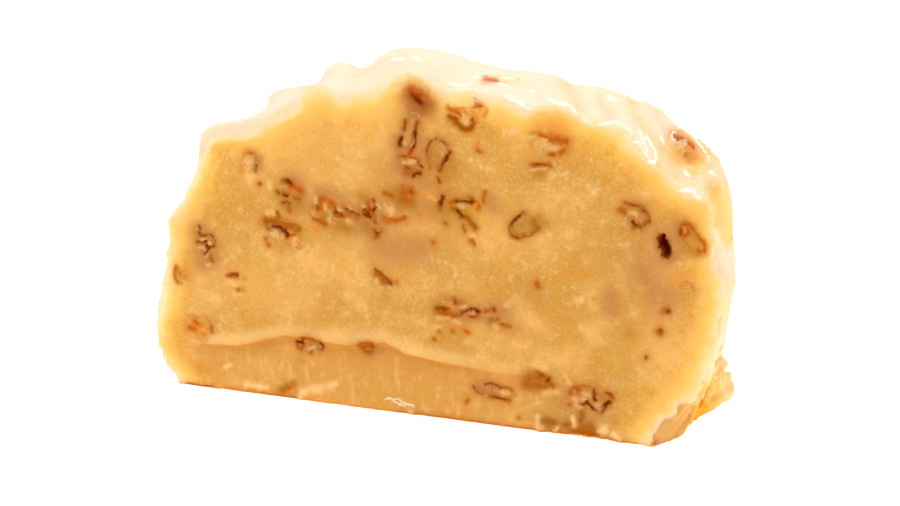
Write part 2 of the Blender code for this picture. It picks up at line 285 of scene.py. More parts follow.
# %% [markdown]
# ## Reading the solids
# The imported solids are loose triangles, a few millimetres each. A merged copy of one is a closed
# shape again. The crust is found by walking from its highest face to every neighbour that doesn't
# turn into a cut face, and the rims are where the walk stops.


# %% Merged copies
def merged_copy(node):
    solid = bmesh.new()
    solid.from_mesh(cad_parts[node].data)
    bmesh.ops.remove_doubles(solid, verts=solid.verts, dist=0.002 * MM)
    solid.normal_update()
    return solid


def new_piece(shape, name, finish, slot, *nodes):
    """Turns a bmesh into a finished object that stands for solids of the frame."""
    mesh = bpy.data.meshes.new(name)
    shape.to_mesh(mesh)
    shape.free()
    mesh.shade_smooth()
    mesh.materials.append(finish.material)
    piece = bpy.data.objects.new(name, mesh)
    scene.collection.objects.link(piece)
    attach(piece, "root")
    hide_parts(*nodes)
    return piece


# %% The crust and its rims
CUT_TURN = 0.72  # a face whose normal leans more than this to front or back belongs to a cut
BASE_TURN = -0.9  # and one whose normal points down more than this belongs to the base
RIM_STEPS = 8  # points on each edge of a rim
solid = merged_copy("fudge")
start = max(solid.faces, key=lambda face: (abs(face.normal.y) < 0.5) * face.calc_center_median().z)
crust_faces = {start}
waiting = [start]
while waiting:
    for edge in waiting.pop().edges:
        for face in edge.link_faces:
            if face not in crust_faces and abs(face.normal.y) < CUT_TURN and face.normal.z > BASE_TURN:
                crust_faces.add(face)
                waiting.append(face)
crust_tree = BVHTree.FromPolygons(
    [v.co.copy() for v in solid.verts], [[v.index for v in face.verts] for face in crust_faces]
)
rim_points = []
for edge in solid.edges:
    sides = [face in crust_faces for face in edge.link_faces]
    outer = [face for face in edge.link_faces if face not in crust_faces]
    if sorted(sides) == [False, True] and abs(outer[0].normal.y) > CUT_TURN:
        a, b = (v.co for v in edge.verts)
        rim_points += [a.lerp(b, k / RIM_STEPS) for k in range(RIM_STEPS)]
rim_tree = kdtree.KDTree(len(rim_points))
for index, point in enumerate(rim_points):
    rim_tree.insert(point, index)
rim_tree.balance()
solid.free()
print(f"{len(crust_faces)} crust faces, {len(rim_points)} points on the two rims")

# %% [markdown]
# ## An even skin for the fudge
# Relief needs small, even faces, which the solid doesn't have. Subdividing it would keep its flat
# facets and the gaps round the pecans, so a voxel remesh is used: the pecans are swollen to fill
# their pockets, and the remesh draws one closed skin over all of it. Smoothing then takes the facets
# out of the crust. The cut faces may only move in and out, and the rims hardly move, so that the
# cuts stay flat and their edges stay crisp.

# %% Close the pockets and remesh
SKIN_FACE = 0.88  # mm
SWELLING = 0.6  # mm, twice the gap round a pecan
whole = merged_copy("fudge")
for name in pecan_names:
    piece = merged_copy(name)
    low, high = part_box(name)
    for v in piece.verts:
        v.co += v.normal * (SWELLING * MM)
        if "front" in name:
            v.co.y = max(v.co.y, low.y)
        if "back" in name:
            v.co.y = min(v.co.y, high.y)
    filling = bpy.data.meshes.new("filling")
    piece.to_mesh(filling)
    piece.free()
    whole.from_mesh(filling)
    bpy.data.meshes.remove(filling)


def evened(shape, face_size):
    """A closed shape with even faces of that size, in mm, by a voxel remesh."""
    mesh = bpy.data.meshes.new("before")
    shape.to_mesh(mesh)
    shape.free()
    holder = bpy.data.objects.new("before", mesh)
    scene.collection.objects.link(holder)
    remesh = holder.modifiers.new("even", "REMESH")
    remesh.mode = "VOXEL"
    remesh.voxel_size = face_size * MM
    made = bpy.data.meshes.new_from_object(holder.evaluated_get(bpy.context.evaluated_depsgraph_get()))
    even = bmesh.new()
    even.from_mesh(made)
    bpy.data.objects.remove(holder)
    bpy.data.meshes.remove(mesh)
    bpy.data.meshes.remove(made)
    return even


skin = evened(whole, SKIN_FACE)
print(f"skin: {len(skin.verts)} points, {len(skin.faces)} faces")


# %% Measure how far points lie from the crust and from the rims
def points_of(shape):
    return np.array([v.co[:] for v in shape.verts]) / MM


def normals_of(shape):
    shape.normal_update()
    return np.array([v.normal[:] for v in shape.verts])


def from_crust(points):
    return np.array([crust_tree.find_nearest(Vector(p) * MM)[3] for p in points]) / MM


def from_rim(points):
    return np.array([rim_tree.find(Vector(p) * MM)[2] for p in points]) / MM


def slope(values, low, high):
    """0 below low, 1 above high, smooth between them."""
    share = np.clip((values - low) / (high - low), 0.0, 1.0)
    return share * share * (3.0 - 2.0 * share)


# %% Smooth the facets away
def some_of(shape, wanted):
    shape.verts.ensure_lookup_table()
    return [shape.verts[i] for i in np.flatnonzero(wanted)]


def smooth(shape, points, factor, passes, axes="xyz"):
    """Moves points towards the middle of their neighbours, along these axes only."""
    along = {f"use_axis_{axis}": axis in axes for axis in "xyz"}
    for _ in range(passes):
        bmesh.ops.smooth_vert(shape, verts=points, factor=factor, **along)


points = points_of(skin)
inset = from_crust(points)
rim_distance = from_rim(points)
above_base = points[:, 2] > 0.5
crust_points = some_of(skin, (inset < 0.45) & (rim_distance > 1.2) & above_base)
cut_points = some_of(skin, (inset > 0.7) & above_base)
smooth(skin, crust_points, 0.5, 5)
smooth(skin, cut_points, 0.5, 4, "y")
smooth(skin, some_of(skin, (rim_distance < 1.2) & above_base), 0.4, 2)
print(f"smoothed {len(crust_points)} crust points and {len(cut_points)} cut points")

# %% [markdown]
# ## Marks in the front cut
# The knife tore bits of nut skin through the fudge, opened small pits beside the pecans and left
# sugar crystals standing. Each mark is a short path in the cut, with a width, and a height that is
# negative where it goes in. One table serves the fudge and the pecans, because many marks cross both.
# Some marks are painted light: shade in the pits and crevices, a shadow line along the foot of the
# base, and glints on wet grains.
# Every path was picked on the photograph, and the fitted camera puts it onto the cut.

# %% Table of marks in the front cut
# Each has its kind, its width and height in tenths of a mm, the place in the photograph where its
# path starts, in pixels, and the steps from there.
# chips and flakes along the left of the base: the long gap lines are a painted shadow along the foot, and
# the glints are painted highlights
# hollows and flakes at the right of the base: the brown and gap marks in the hollows are painted shade, and
# the long gap lines are a painted shadow along the foot
# wet grains, their glints painted as pale spots
MARKS = """
# ring at the upper left
warm 4 -1 241 171 0 -8 2 -6 3 -3 4 -1; rust 4 -1 249 153 3 1 3 1; skin 3 -1 256 158 1 5 -1 4;
skin 4 -1 256 165 -1 6; pale 10 1 248 174 5 1; orange 12 0 241 172 2 3; orange 12 0 244 151 9 -1;
mauve 14 0 260 158 0 10; rust 6 -2 259 184 1 0
# two halves of a piece
dark 8 -3 287 182 2 2; rust 9 -2 290 187 5 2 4 1; brown 10 -1 282 182 4 -1; mauve 24 0 294 180 8 8 2 8;
brown 12 -1 292 182 8 10; olive 12 -1 279 194 9 -1 8 3 4 3; gap 5 -2 293 199 5 1; dark 5 -2 283 195 3 2;
skin 3 -1 276 191 3 3; olive 16 -1 284 204 12 0 3 -1; rust 4 -1 288 207 2 5; skin 3 -1 282 203 4 -1 3 2;
warm 3 -1 297 213 2 1; pale 8 0 269 184 1 4
# torn pit below them
gap 16 -7 267 222 8 0 8 3; gap 14 -7 283 225 8 3 5 1; gap 6 -5 277 213 1 6; brown 8 -4 266 226 4 3;
dark 5 -2 273 227 5 1 4 4; dark 7 -3 282 232 4 4; pale 10 1 268 212 5 1; pale 14 1 275 232 4 4;
rust 4 -1 286 238 4 -2 4 -1; warm 5 -1 294 232 4 6 1 6; warm 7 -1 297 247 3 0; orange 18 0 285 241 8 2;
pale 7 0 294 239 -1 5; rust 5 -1 266 239 0 1; rust 5 -1 268 245 1 0
# crumbled pieces in a row
rust 8 -2 320 200 4 -2; warm 10 -2 327 198 4 5; rust 5 -1 328 202 4 1; rust 5 -1 319 202 0 7;
mauve 24 0 318 194 10 -2 10 5; olive 20 -1 317 208 3 6; olive 14 -1 327 204 2 6; gap 6 -2 331 206 4 3;
skin 4 -1 316 207 2 3; olive 12 0 324 216 4 2; rust 5 -1 315 219 6 1; gap 8 -2 321 221 4 3;
rust 4 -1 322 223 3 -1; warm 8 0 313 228 4 1; pale 7 1 316 198 0 5; pale 5 1 324 206 1 4;
dark 6 -2 335 212 2 1; rust 8 -2 335 215 4 1; skin 5 -1 340 216 1 -3; rust 5 -1 343 208 4 2;
dark 4 -2 346 210 4 2 3 0; skin 3 -1 353 213 6 2; brown 10 -1 345 214 7 1 6 2; pale 8 1 338 210 3 1;
pale 10 1 330 220 5 1; olive 20 -1 332 222 8 4 6 1; gap 4 -1 332 220 4 2; mauve 20 0 338 205 12 11;
warm 3 -1 336 232 2 2; rust 7 -2 368 202 0 2; rust 5 -1 368 206 1 4; dark 4 -2 365 209 -2 3;
dark 5 -2 364 214 2 2; dark 6 -2 367 214 2 3; skin 4 -1 370 210 3 1; dark 4 -2 372 212 2 -3;
skin 3 -1 371 216 2 -2; skin 4 -1 374 203 -2 -3; mauve 36 0 366 206 8 8 6 8; olive 12 0 361 196 3 1;
olive 14 -1 364 226 5 -1; brown 10 -1 388 221 4 -1; skin 4 -1 374 222 2 1; gap 8 -2 376 234 2 1;
skin 4 -2 375 237 2 -4 4 -2; rust 3 -1 383 217 5 2 9 2; pale 12 1 391 208 0 5; pale 6 1 377 205 2 3;
pale 6 1 362 206 3 1
# grey crumbs at the left side
dark 4 -2 199 226 1 3 -1 4 2 3; skin 4 -2 203 236 5 -1 4 2 2 4 -1 5; dark 4 -2 209 235 3 2;
skin 3 -1 197 242 3 0; dark 4 -2 203 243 3 -2; dark 5 -2 206 245 2 4; dark 4 -2 207 251 -2 3;
skin 5 -2 210 248 3 -2; gap 7 -2 211 257 1 4; pale 4 1 198 229 1 2; pale 5 2 202 240 3 -1;
pale 5 1 200 247 3 1; pale 5 1 206 256 1 -2; pale 6 1 208 265 3 -2; pale 4 1 209 242 1 2;
mauve 32 0 200 232 6 13 -3 17; mauve 20 0 213 240 2 6
# open ring beside them, and two holes
rust 4 -1 176 266 -1 6 0 5 3 5; warm 3 -1 178 282 4 1; orange 12 0 183 276 3 1; olive 10 0 178 270 2 4;
orange 16 0 187 268 1 6; gap 7 -5 229 276 4 -1 4 0; skin 5 -4 231 275 6 -1; warm 5 -1 243 277 3 1;
gap 5 -2 238 290 1 -1; olive 8 0 240 290 3 0; orange 6 0 227 267 0 3; pale 12 0 229 281 8 3;
pale 10 0 234 294 6 0
# orange-edged piece at the lower left
warm 4 -1 189 316 4 -1 4 2 6 -1 4 1 3 4 1 6; rust 5 -1 211 327 1 4; warm 10 -1 195 322 2 4 -4 3;
rust 5 -1 195 321 2 3; rust 6 -1 190 328 4 1; orange 24 0 200 326 5 2; orange 20 0 192 332 8 2;
warm 3 -1 197 338 3 3 4 1 3 -2
# smudge, stick and the pieces round them at the top
smudge 28 -4 413 97 6 6 5 3; rust 14 -1 411 91 7 4; dark 7 -3 415 99 5 4; dark 5 -2 411 94 3 3;
mauve 32 0 410 100 14 4; skin 4 -2 406 120 -2 10; dark 6 -2 401 138 -2 8; skin 5 -2 417 122 -2 10;
dark 6 -2 415 134 -2 13; rust 7 -2 411 149 -2 6; skin 5 -2 411 147 -1 7; mauve 24 0 419 140 5 12 -4 8;
mauve 14 0 396 138 1 8; brown 8 -2 400 157 10 1 9 2; skin 3 -1 402 156 8 3 8 3; pale 5 1 404 163 10 0;
dark 5 -2 417 164 5 3; skin 3 -1 406 167 3 2; brown 14 -2 408 173 8 -1; dark 5 -2 413 176 3 -3 4 1;
skin 2 -1 447 146 -6 -6 -5 -2 -6 4 -3 7 1 9 2 10; dark 6 -2 449 152 -3 6 -2 6; skin 5 -1 443 165 -3 5;
olive 20 0 452 160 0 12 -6 4; olive 14 0 436 150 1 14; skin 3 -1 438 178 2 4; orange 10 -1 433 190 2 6;
dark 6 -2 443 197 -2 7; gap 4 -2 439 203 1 6; brown 18 -1 403 193 8 -1; brown 16 -1 402 199 8 2;
rust 4 -1 404 191 5 2; rust 4 -1 406 201 5 -1; orange 10 0 418 192 10 2; olive 22 0 398 203 8 1;
orange 8 0 420 210 6 4; rust 3 -1 390 219 8 0 7 -2; warm 5 -1 406 221 1 2; mauve 28 0 426 182 8 4
# split piece near the top
gap 7 -5 449 117 5 3 5 6 6 4 5 -1 3 -5 -1 -4; rust 5 -2 451 118 5 3; rust 6 -2 460 127 6 3 4 -2;
rust 4 -1 470 121 3 -1; warm 7 -2 447 107 5 2 8 0; gap 4 -2 450 110 6 2 4 5; warm 5 -1 471 108 7 -2 4 0;
rust 3 -1 476 106 5 0; warm 5 -1 485 108 2 3 -3 6; orange 16 0 477 113 5 1; pale 10 1 462 117 4 5;
pale 5 1 463 103 1 1; warm 6 -1 478 143 0 6; rust 4 -1 478 150 3 2
# piece below it, with an olive edge
dark 6 -3 457 201 7 1 6 1; gap 5 -2 450 203 7 -2; gap 8 -2 470 200 2 3; gap 6 -3 452 209 5 1 3 4;
dark 5 -2 457 211 4 5; gap 6 -4 461 217 6 2 4 4 4 4; warm 8 -2 478 203 -1 7; rust 5 -1 478 206 -1 3;
gold 22 0 464 210 10 6; pale 8 1 459 205 4 2; gap 9 -2 473 226 2 2; rust 4 -1 463 226 2 6;
warm 5 -1 468 238 4 2; gap 6 -1 472 241 3 3; pale 6 1 472 236 4 1; pale 6 1 476 241 2 5;
mauve 26 0 488 198 6 9; rust 5 -1 485 192 0 3; rust 4 -1 483 198 0 4; rust 4 -1 446 223 0 1;
rust 5 -1 433 242 1 1; olive 18 0 455 206 15 -8
# quarter oval
dark 4 -1 524 213 -5 3 -5 5 -3 4; skin 3 -1 511 225 -1 6 2 4; gap 6 -2 514 236 5 1 4 -1;
skin 4 -1 513 236 5 2; skin 3 -1 524 236 6 -1 5 -4 4 -3; olive 28 0 517 227 10 -3; brown 14 0 534 221 2 5;
olive 18 0 540 219 6 5
# pale piece under a torn roof, and a slit
warm 7 -2 532 133 8 1 8 2; rust 5 -2 540 136 6 2; rust 12 -4 552 140 6 1 7 1; warm 10 -2 552 134 8 2 6 3;
pale 4 1 530 136 5 1; pale 4 1 541 139 5 2; warm 6 -1 531 143 1 4; rust 5 -2 550 154 4 1;
warm 10 -2 560 152 4 -3; rust 6 -1 560 153 3 -2; pale 12 0 538 143 10 4 8 1; rust 7 -5 533 165 7 0 9 0;
skin 3 -3 536 165 9 0; pale 5 1 532 169 8 0 5 -1; olive 18 0 530 175 11 0; orange 24 0 540 125 20 3
# grey oval at the right
rust 5 -1 625 203 4 2; skin 3 -1 629 205 8 1 6 2 4 5 2 5 0 4; skin 3 -1 641 210 4 3 3 4;
mauve 14 0 640 208 7 7 0 7; olive 14 0 632 209 7 2; gap 8 -2 620 210 5 2; warm 5 -1 623 210 3 4;
pale 6 1 628 212 8 2; dark 5 -2 633 222 2 3; gap 9 -2 635 226 5 1; gap 5 -2 644 225 3 -3;
pale 3 1 637 230 1 1
# maroon hole, and the orange-edged piece beside it
hole 9 -14 662.5 237 -1 5 2.5 6; hole 12 -15 663.5 243 3 6.5 0.5 3.5; rust 3 2 661 245 2 5;
rust 4 1 668 250 1 2; mauve 36 0 661 238 7 16; mauve 20 0 676 228 1 12 5 10; rust 6 -2 682 225 4 0;
rust 4 -1 686 223 4 2 3 4 3 6 3 4 4 3 2 5 -1 5; rust 6 -2 681 231 1 4; skin 4 -2 681 229 0 5;
rust 4 -1 684 237 4 -3 1 -3 -2 -2; olive 6 0 684 238 1 8; warm 5 -1 697 249 1 4 3 -1;
rust 3 -1 697 250 2 3 3 -2; orange 24 0 690 231 6 10; olive 20 0 690 243 2 5
# arc, and small holes below it
warm 4 -1 680 286 2 -3 4 -1 4 1 3 4 2 4; orange 22 0 678 280 8 -2; warm 2 -1 686 309 3 4 3 5;
skin 5 -2 668 311 0 1; brown 10 -1 663 310 4 0; skin 6 -2 659 331 1 -1; brown 12 -1 659 332 1 2;
orange 14 0 659 322 1 7; orange 8 -1 642 304 3 -1; mauve 24 0 660 292 8 5; mauve 32 0 612 296 0 12;
dark 4 -2 646 357 0 1
# slit with a pale lip in the middle
skin 4 -3 375 269 4 4 5 4; skin 5 -3 384 277 3 4 3 3; gap 10 -2 377 274 4 3 4 6; brown 8 -1 390 281 6 1;
pale 5 1 380 288 5 -2 6 1; pale 7 1 377 280 1 2
# long crumbled piece
skin 6 -3 437 308 4 0 8 1; gap 12 -2 438 310 8 2 7 2; gap 8 -3 450 312 6 3 4 -1;
dark 5 -3 461 313 3 -2 4 -1; dark 6 -2 471 309 4 1 3 2; rust 6 -2 478 312 -1 3 -3 2; skin 3 -2 469 317 3 0;
rust 6 -1 486 312 3 -1; skin 5 -1 493 309 1 2; skin 6 -1 454 300 1 3; orange 10 0 474 297 5 -2;
warm 6 0 444 297 3 0; mauve 28 0 468 313 14 1 18 0; mauve 12 0 455 300 2 5; brown 6 -1 459 302 5 2;
brown 10 -2 491 322 6 -2; orange 12 -1 502 323 6 4; brown 6 -1 500 324 10 3; pale 6 1 438 317 6 1 6 -1;
pale 6 1 454 320 6 3; pale 10 0 436 326 4 1; pale 6 1 473 314 3 -1; pale 6 1 461 307 5 -1;
pale 8 1 495 326 1 2; warm 8 -1 461 326 4 4 3 1; rust 4 -1 465 331 3 1; rust 4 -1 440 330 0 1;
rust 4 -1 453 330 0 1; rust 4 -1 435 338 0 1; rust 7 -2 537 283 1 3
# two pieces under the lip
dark 6 -2 295 344 4 0; rust 5 -2 294 345 1 4 3 2 3 -3; skin 4 -2 297 344 4 2; gap 10 -2 302 340 7 -1 8 3;
skin 4 -2 303 338 6 0 5 2; skin 4 -1 301 341 -1 6; dark 6 -2 319 344 1 3; skin 5 -2 320 347 -1 4;
pale 6 0 306 351 6 -2; gap 4 -1 308 355 1 -1; mauve 16 0 308 346 7 2; rust 7 -2 359 346 2 3;
rust 4 -2 361 344 4 -1 7 1; gap 12 -1 363 346 6 1; skin 3 -1 371 346 0 4; rust 3 -1 363 353 3 -1 2 2 -2 2;
mauve 18 0 373 348 5 2
# stick, hollow piece and wrinkled piece at the lower right
skin 3 -1 484 385 6 -1 6 2 4 3; rust 4 -1 500 388 8 0 4 3; skin 4 -1 473 388 4 4 4 2;
skin 4 -1 490 397 7 1 7 2; rust 5 -2 505 399 4 2; warm 6 -1 512 391 4 5; mauve 22 0 478 388 12 3;
pale 8 0 502 393 5 2; brown 26 -3 527 382 9 -5 7 4; brown 20 -2 526 385 10 1 12 1; skin 6 -2 540 376 3 0;
dark 6 -2 546 381 3 -1; rust 5 -1 526 383 1 3; rust 3 -2 536 372 6 3 7 5; gap 6 -2 550 383 3 4;
pale 16 2 536 365 9 2; pale 12 1 545 394 11 -2; pale 4 0 504 365 2 1; rust 4 -1 570 395 0 -4 3 -3 4 -1;
rust 6 -1 577 388 1 2; rust 3 -1 578 388 5 -2 6 1; skin 5 -2 594 390 0 5 1 4; dark 5 -2 594 398 1 2;
skin 5 -2 579 405 5 0 2 -2; dark 5 -2 586 402 3 3 3 4; skin 4 -2 592 409 4 3 5 1; dark 10 -5 603 408 2 -2;
dark 6 -4 606 405 3 -2; dark 5 -4 602 411 1 -2; skin 5 -1 606 393 3 1 2 3; rust 3 -1 612 395 1 5 -3 4;
pale 8 2 574 399 3 1; pale 6 1 582 400 3 0; pale 8 1 584 394 4 2; pale 8 1 598 406 2 3;
pale 8 1 575 406 4 3; mauve 20 0 590 396 14 2; olive 12 0 597 392 5 4; rust 5 -1 466 403 1 -2;
gap 3 -1 519 418 0 1; rust 3 -1 568 407 2 -1
# grains and stains in the broken cluster
olive 18 0 317 206 5 6 8 1; olive 18 0 331 221 9 5 7 3; mauve 30 0 340 206 12 6 14 4;
mauve 34 0 368 222 10 6; brown 8 -1 362 208 8 4 4 6; brown 6 -1 321 199 9 2 5 4; skin 3 -1 335 208 1 2;
skin 3 -1 341 216 2 1; skin 3 -1 364 209 1 2; skin 3 -1 375 206 2 2; rust 3 -1 383 218 1 2;
rust 3 -1 368 202 1 2; skin 4 -2 373 230 3 4; gap 5 -1 395 221 10 -3; pale 5 1 329 212 2 4;
pale 6 1 349 208 4 4; pale 5 1 385 205 5 5; pale 6 1 347 221 4 3; olive 22 0 395 193 7 7;
olive 14 0 412 203 8 9; mauve 26 0 402 168 8 14; mauve 30 0 446 196 6 10; pale 5 1 430 196 6 4;
gap 6 -1 384 193 8 3; skin 3 -1 410 191 2 3; rust 3 -1 402 186 2 4
# light and dull areas of the cut
light 30 1 505 332 13 13 10 7; light 36 1 500 368 15 4 13 -6 10 -8; pale 8 2 536 361 5 1;
light 26 1 552 356 14 6 8 -12; light 24 1 578 372 2 -20; pale 7 2 566 374 4 10; light 24 1 590 330 14 -8;
light 30 0 470 290 10 20 -2 20; light 24 0 520 300 10 20 15 10; mauve 40 0 565 400 25 5;
light 90 0 265 165 55 -25 70 -5; light 80 0 300 185 50 -10; mauve 50 0 372 212 38 -6 30 4;
olive 40 0 445 205 20 7; light 70 0 330 265 60 -3; light 70 0 470 230 70 2; light 60 0 660 330 -5 20;
light 80 0 218.6 274.3 45.4 17.2 27.5 7.5; light 60 0 393 220 39 -6; mauve 50 0 384 251.5 33.5 -1.5;
mauve 60 0 640 270 20.5 27.5
# hollows and flakes at the right of the base
brown 16 -5 541 421 9 3 10 2 10 1; brown 18 -5 575 432 7 -4 8 2; gap 10 -5 572 434 13 0 13 3;
gap 5 -3 576 436 12 0 10 2 10 2; brown 12 -3 580 414 -1 10; chip 10 6 537 418 1 10 3 4;
chip 5 3 542 428 1 2; chip 6 4 555 431 2 -2; chip 8 4 572 420 1 7; chip 14 8 602 430 3 -1;
chip 8 4 598 433 2 3; chip 12 6 614 434 6 6; mauve 14 -1 583 418 7 6; gap 4 -1 440 419 32 5 28 3;
gap 4 -1 506 427 14 2; gap 4 -1 520 429 15 2; gap 4 -1 540 432 20 2 15 2; gap 6 -1 575 436 15 2 10 2 12 1;
gap 5 -1 610 441 15 2
# chips and flakes along the left of the base
skin 4 -1 188 385 12 2 12 1; scar 28 -2 226 384 11 -2; gap 4 -1 226 390 14 2; gap 3 -1 244 393 26 3 26 3;
chip 12 3 246 385 10 1 10 2; brown 12 -2 281 391 7 -3 3 -3; warm 6 -2 289 387 3 -3; warm 8 -1 294 391 4 1;
chip 12 3 300 398 2 -6 8 -3 12 0; chip 10 3 322 389 12 -4; chip 8 2 224 368 4 -1; orange 16 0 198 366 8 6;
glint 2 1 385 400 5 -1; glint 2 1 391 400 6 -1 4 4 4 1; glint 2 1 393 402 7 3 4 1; glint 2 1 406 404 7 2;
chip 8 2 411 411 1 4; gap 3 -1 400 413 40 6
# wet grains
pale 3 1 540 364 2 2; pale 3 1 504 365 2 2; pale 3 1 456 320 3 2; pale 3 1 386 286 6 2;
pale 3 1 444 164 2 -1; pale 3 1 575 399 2 1; pale 3 1 600 370 3 1; pale 3 1 412 380 1 1
"""

# %% Table of marks in the crust, written the same way
# In the crust, the gold, tan and amber marks and the shade of creases and scoops are painted shade, and the
# glints and the pale of ridges are painted highlights.
CRUST_MARKS = """
# edge of the fold at the right
crease 9 -8 707 172 3 18 5.5 20 2 18; gold 30 0 717 188 5 15 3 20; light 40 0 725 288 -1 20 -3 20;
crease 22 -4 564 84 5 7 5 8 5 10; ridge 20 4 560 84 5 8 5 8; crease 24 -7 632 104 6 11 6 11 10 13 9 14;
ridge 18 5 628 104 6 12 6 11 10 14 9 14; crease 16 -4 600 100 4 8 7 10; crease 16 -3 652 108 5 10 5 10;
ridge 12 5 653.5 141 6.5 10.5 6 10.5 6.5 7.5 6.5 1.5 9 -3 10 3; ridge 9 4 678 149 3.5 9 4.5 6.5;
ridge 8 4 662 142 2 8 4 7; scoop 50 -8 688 153 3.5 6; scoop 42 -4 668 150 6 10; pink 12 0 672 133 6 2;
rust 4 -1 671 135 4 2 3 3; rust 4 -1 681 139 5 4 6 5; pink 10 0 678 138 7 4 7 5; gold 52 0 687 151 5 8;
rust 3 -1 484 83 6 0 6 -1.5; pink 8 0 486 82 9 -1; pink 20 0 205.5 147 2.5 7;
glint 3 2 547.5 101 6.5 3 10 2 8 1.5 5 6.5; glint 3 2 586 120 7.5 3.5;
glint 3 2 601 125 7 -0.5 7 -1 8 5 6 7.5; glint 4 2 608 98.5 5 1.5;
glint 3 2 639.5 131.5 0.5 6.5 4 6 2.5 7 -1.5 3 5.5 6 5 2.5 -1.5 -11.5 -5 -8 -3 -6; glint 3 2 643 139 4 1.5;
glint 3 2 681 191 6 -1.5 8 2.5 5 5.5; glint 3 2 681.5 141.5 3.5 -0.5 0 4.5 -4 2.5 -2.5 -2.5 1 -3;
glint 3 2 674 132.5 -4 3 1.5 4 3.5 2; glint 3 2 626.5 144 8 -1.5 6 2; glint 3 2 631 145 6 4.5 5 0.5;
glint 3 2 690.5 136.5 7.5 8 6 9.5; glint 3 2 705.5 157 1.5 7; glint 3 2 709.5 172 3 2.5;
glint 4 3 684 172 5 4; glint 3 2 661 137 1.5 7; glint 4 2 473 80 6 0.5; glint 3 2 501 79 10 0 4 2;
glint 3 2 499 86 5 1; glint 3 2 531 93 4 1; glint 4 2 549 101 5 3; glint 3 2 505 97.5 7 2.5 9 5 9 4.5;
glint 3 2 449 85 9 2 12 -1; glint 4 2 392 60.5 12 -0.5; glint 4 2 413 59 6 1; glint 3 2 329 120 3 2;
crease 20 -8 707 172 4 13 5 19 1 19; crease 18 -6 715.5 213 7.5 14 5 14; tan 40 3 680 403 -4 8 -7 12 -9 11;
gap 5 -2 653 439 9 1 7 -3; amber 14 -5 694 406 1 7 -4 9 -7 8; amber 24 -4 699 406 -4 10 -9 11;
gold 44 0 707 410 -7 10; gold 40 0 698 416 5 -13 4 -15; gold 26 0 719 190 3 15 3 17 4 16;
ridge 9 4 715 212 8 14 6 16 2 13 2 28; crease 12 -5 714 248 -1 14 3 10;
crease 14 -4 719.5 327 6.5 -13 4 -14
"""


# %% From the photograph to the slice
PHOTO_MIDDLE = (450.0, 253.0)  # pixels
STENCIL_AWAY = 350.0  # mm from the camera, where a mm of the stencil is 5 pixels
PIXELS = 5.0
FRONT_CUT = -12.0  # mm, where the front cut lies along y


def to_stencil(places):
    """Places in the photograph, as mm right and up on a sheet that faces the camera."""
    return (places - PHOTO_MIDDLE) / (PIXELS, -PIXELS)


def to_cut(places):
    """The same as x and z on the front cut, to a tenth of a mm."""
    sheet = to_stencil(places)
    rays = sheet[:, :1] * right + sheet[:, 1:] * up - STENCIL_AWAY * back
    share = (FRONT_CUT - eye[1]) / rays[:, 1:2]
    flat = (eye + share * rays)[:, [0, 2]].round(1)
    return np.maximum(flat, (-np.inf, 0.0))


def on_stencil(points):
    """Where points appear, right and up in mm, on the same sheet."""
    away = (eye - points) @ back
    return STENCIL_AWAY * np.stack([(points - eye) @ right, (points - eye) @ up], 1) / away[:, None]


def read_marks(table, placed):
    """Kind, width, height and path of each mark in a table, in mm."""
    marks = []
    for row in table.replace(";", "\n").splitlines():
        if row and not row.startswith("#"):
            kind, *numbers = row.split()
            width, height, *steps = map(float, numbers)
            path = np.cumsum(np.reshape(steps, (-1, 2)), axis=0)
            marks.append((kind, width / 10.0, height / 10.0, placed(path)))
    return marks


cut_marks = read_marks(MARKS, to_cut)
crust_marks = read_marks(CRUST_MARKS, to_stencil)
print(f"{len(cut_marks)} marks in the front cut, {len(crust_marks)} in the crust")


# %% Noise and distances
def noise_at(points, size, shift=0.0, stretch=(1.0, 1.0, 1.0)):
    """Smooth noise, about -1 to 1, whose lumps are about that many mm across."""
    scaled = points / (size * np.array(stretch)) + shift
    return np.array([noise.noise(p) for p in scaled.tolist()])


def path_distance(flat, path):
    """How far points (x, z) lie from a path."""
    nearest = np.full(len(flat), 1e9)
    for a, b in zip(path, path[1:]):
        run = b - a
        share = np.clip((flat - a) @ run / (run @ run), 0.0, 1.0)
        nearest = np.minimum(nearest, np.linalg.norm(flat - a - share[:, None] * run, axis=1))
    return nearest


# %% [markdown]
# ## What the marks leave behind
# Each kind of mark leaves a stain of its own name, but for a few that borrow the stains of others.
# Some are painted light rather than stains: glint is a painted highlight, and so is the pale that a
# ridge borrows; shade, and in the crust gold, tan and amber, are painted shade in creases, scoops,
# folds and the gap at the torn corner; gap is painted shade in crevices and pits and along the foot
# of the base.
# The soft kinds fade out slowly, and the kinds that cut into a nut's skin bleed into the fudge.

# %% Kinds of marks
# The stains, painted shades and painted highlights from the lowest to the topmost: name, how strongly
# it covers, and its screen colour
STAIN_COLOURS = (
    ("light", 0.40, (240, 184, 104)), ("cream", 0.85, (250, 212, 166)), ("gold", 0.90, (240, 180, 84)),
    ("tan", 1.00, (204, 154, 84)), ("shade", 0.70, (228, 166, 80)), ("stain", 0.85, (180, 118, 58)),
    ("mauve", 0.75, (186, 124, 70)), ("olive", 0.75, (178, 122, 32)), ("orange", 0.55, (218, 138, 50)),
    ("brown", 0.90, (168, 92, 4)), ("bleed", 0.90, (180, 104, 26)), ("warm", 0.75, (216, 124, 30)),
    ("amber", 0.95, (244, 166, 40)), ("pink", 0.55, (214, 136, 100)), ("pale", 0.55, (236, 188, 114)),
    ("chip", 0.70, (246, 206, 140)), ("gap", 0.88, (172, 92, 4)), ("rust", 0.88, (188, 82, 6)),
    ("skin", 0.90, (146, 56, 6)), ("dark", 0.95, (110, 24, 0)), ("hole", 1.00, (78, 8, 0)),
    ("glint", 0.75, (255, 252, 242)),
)
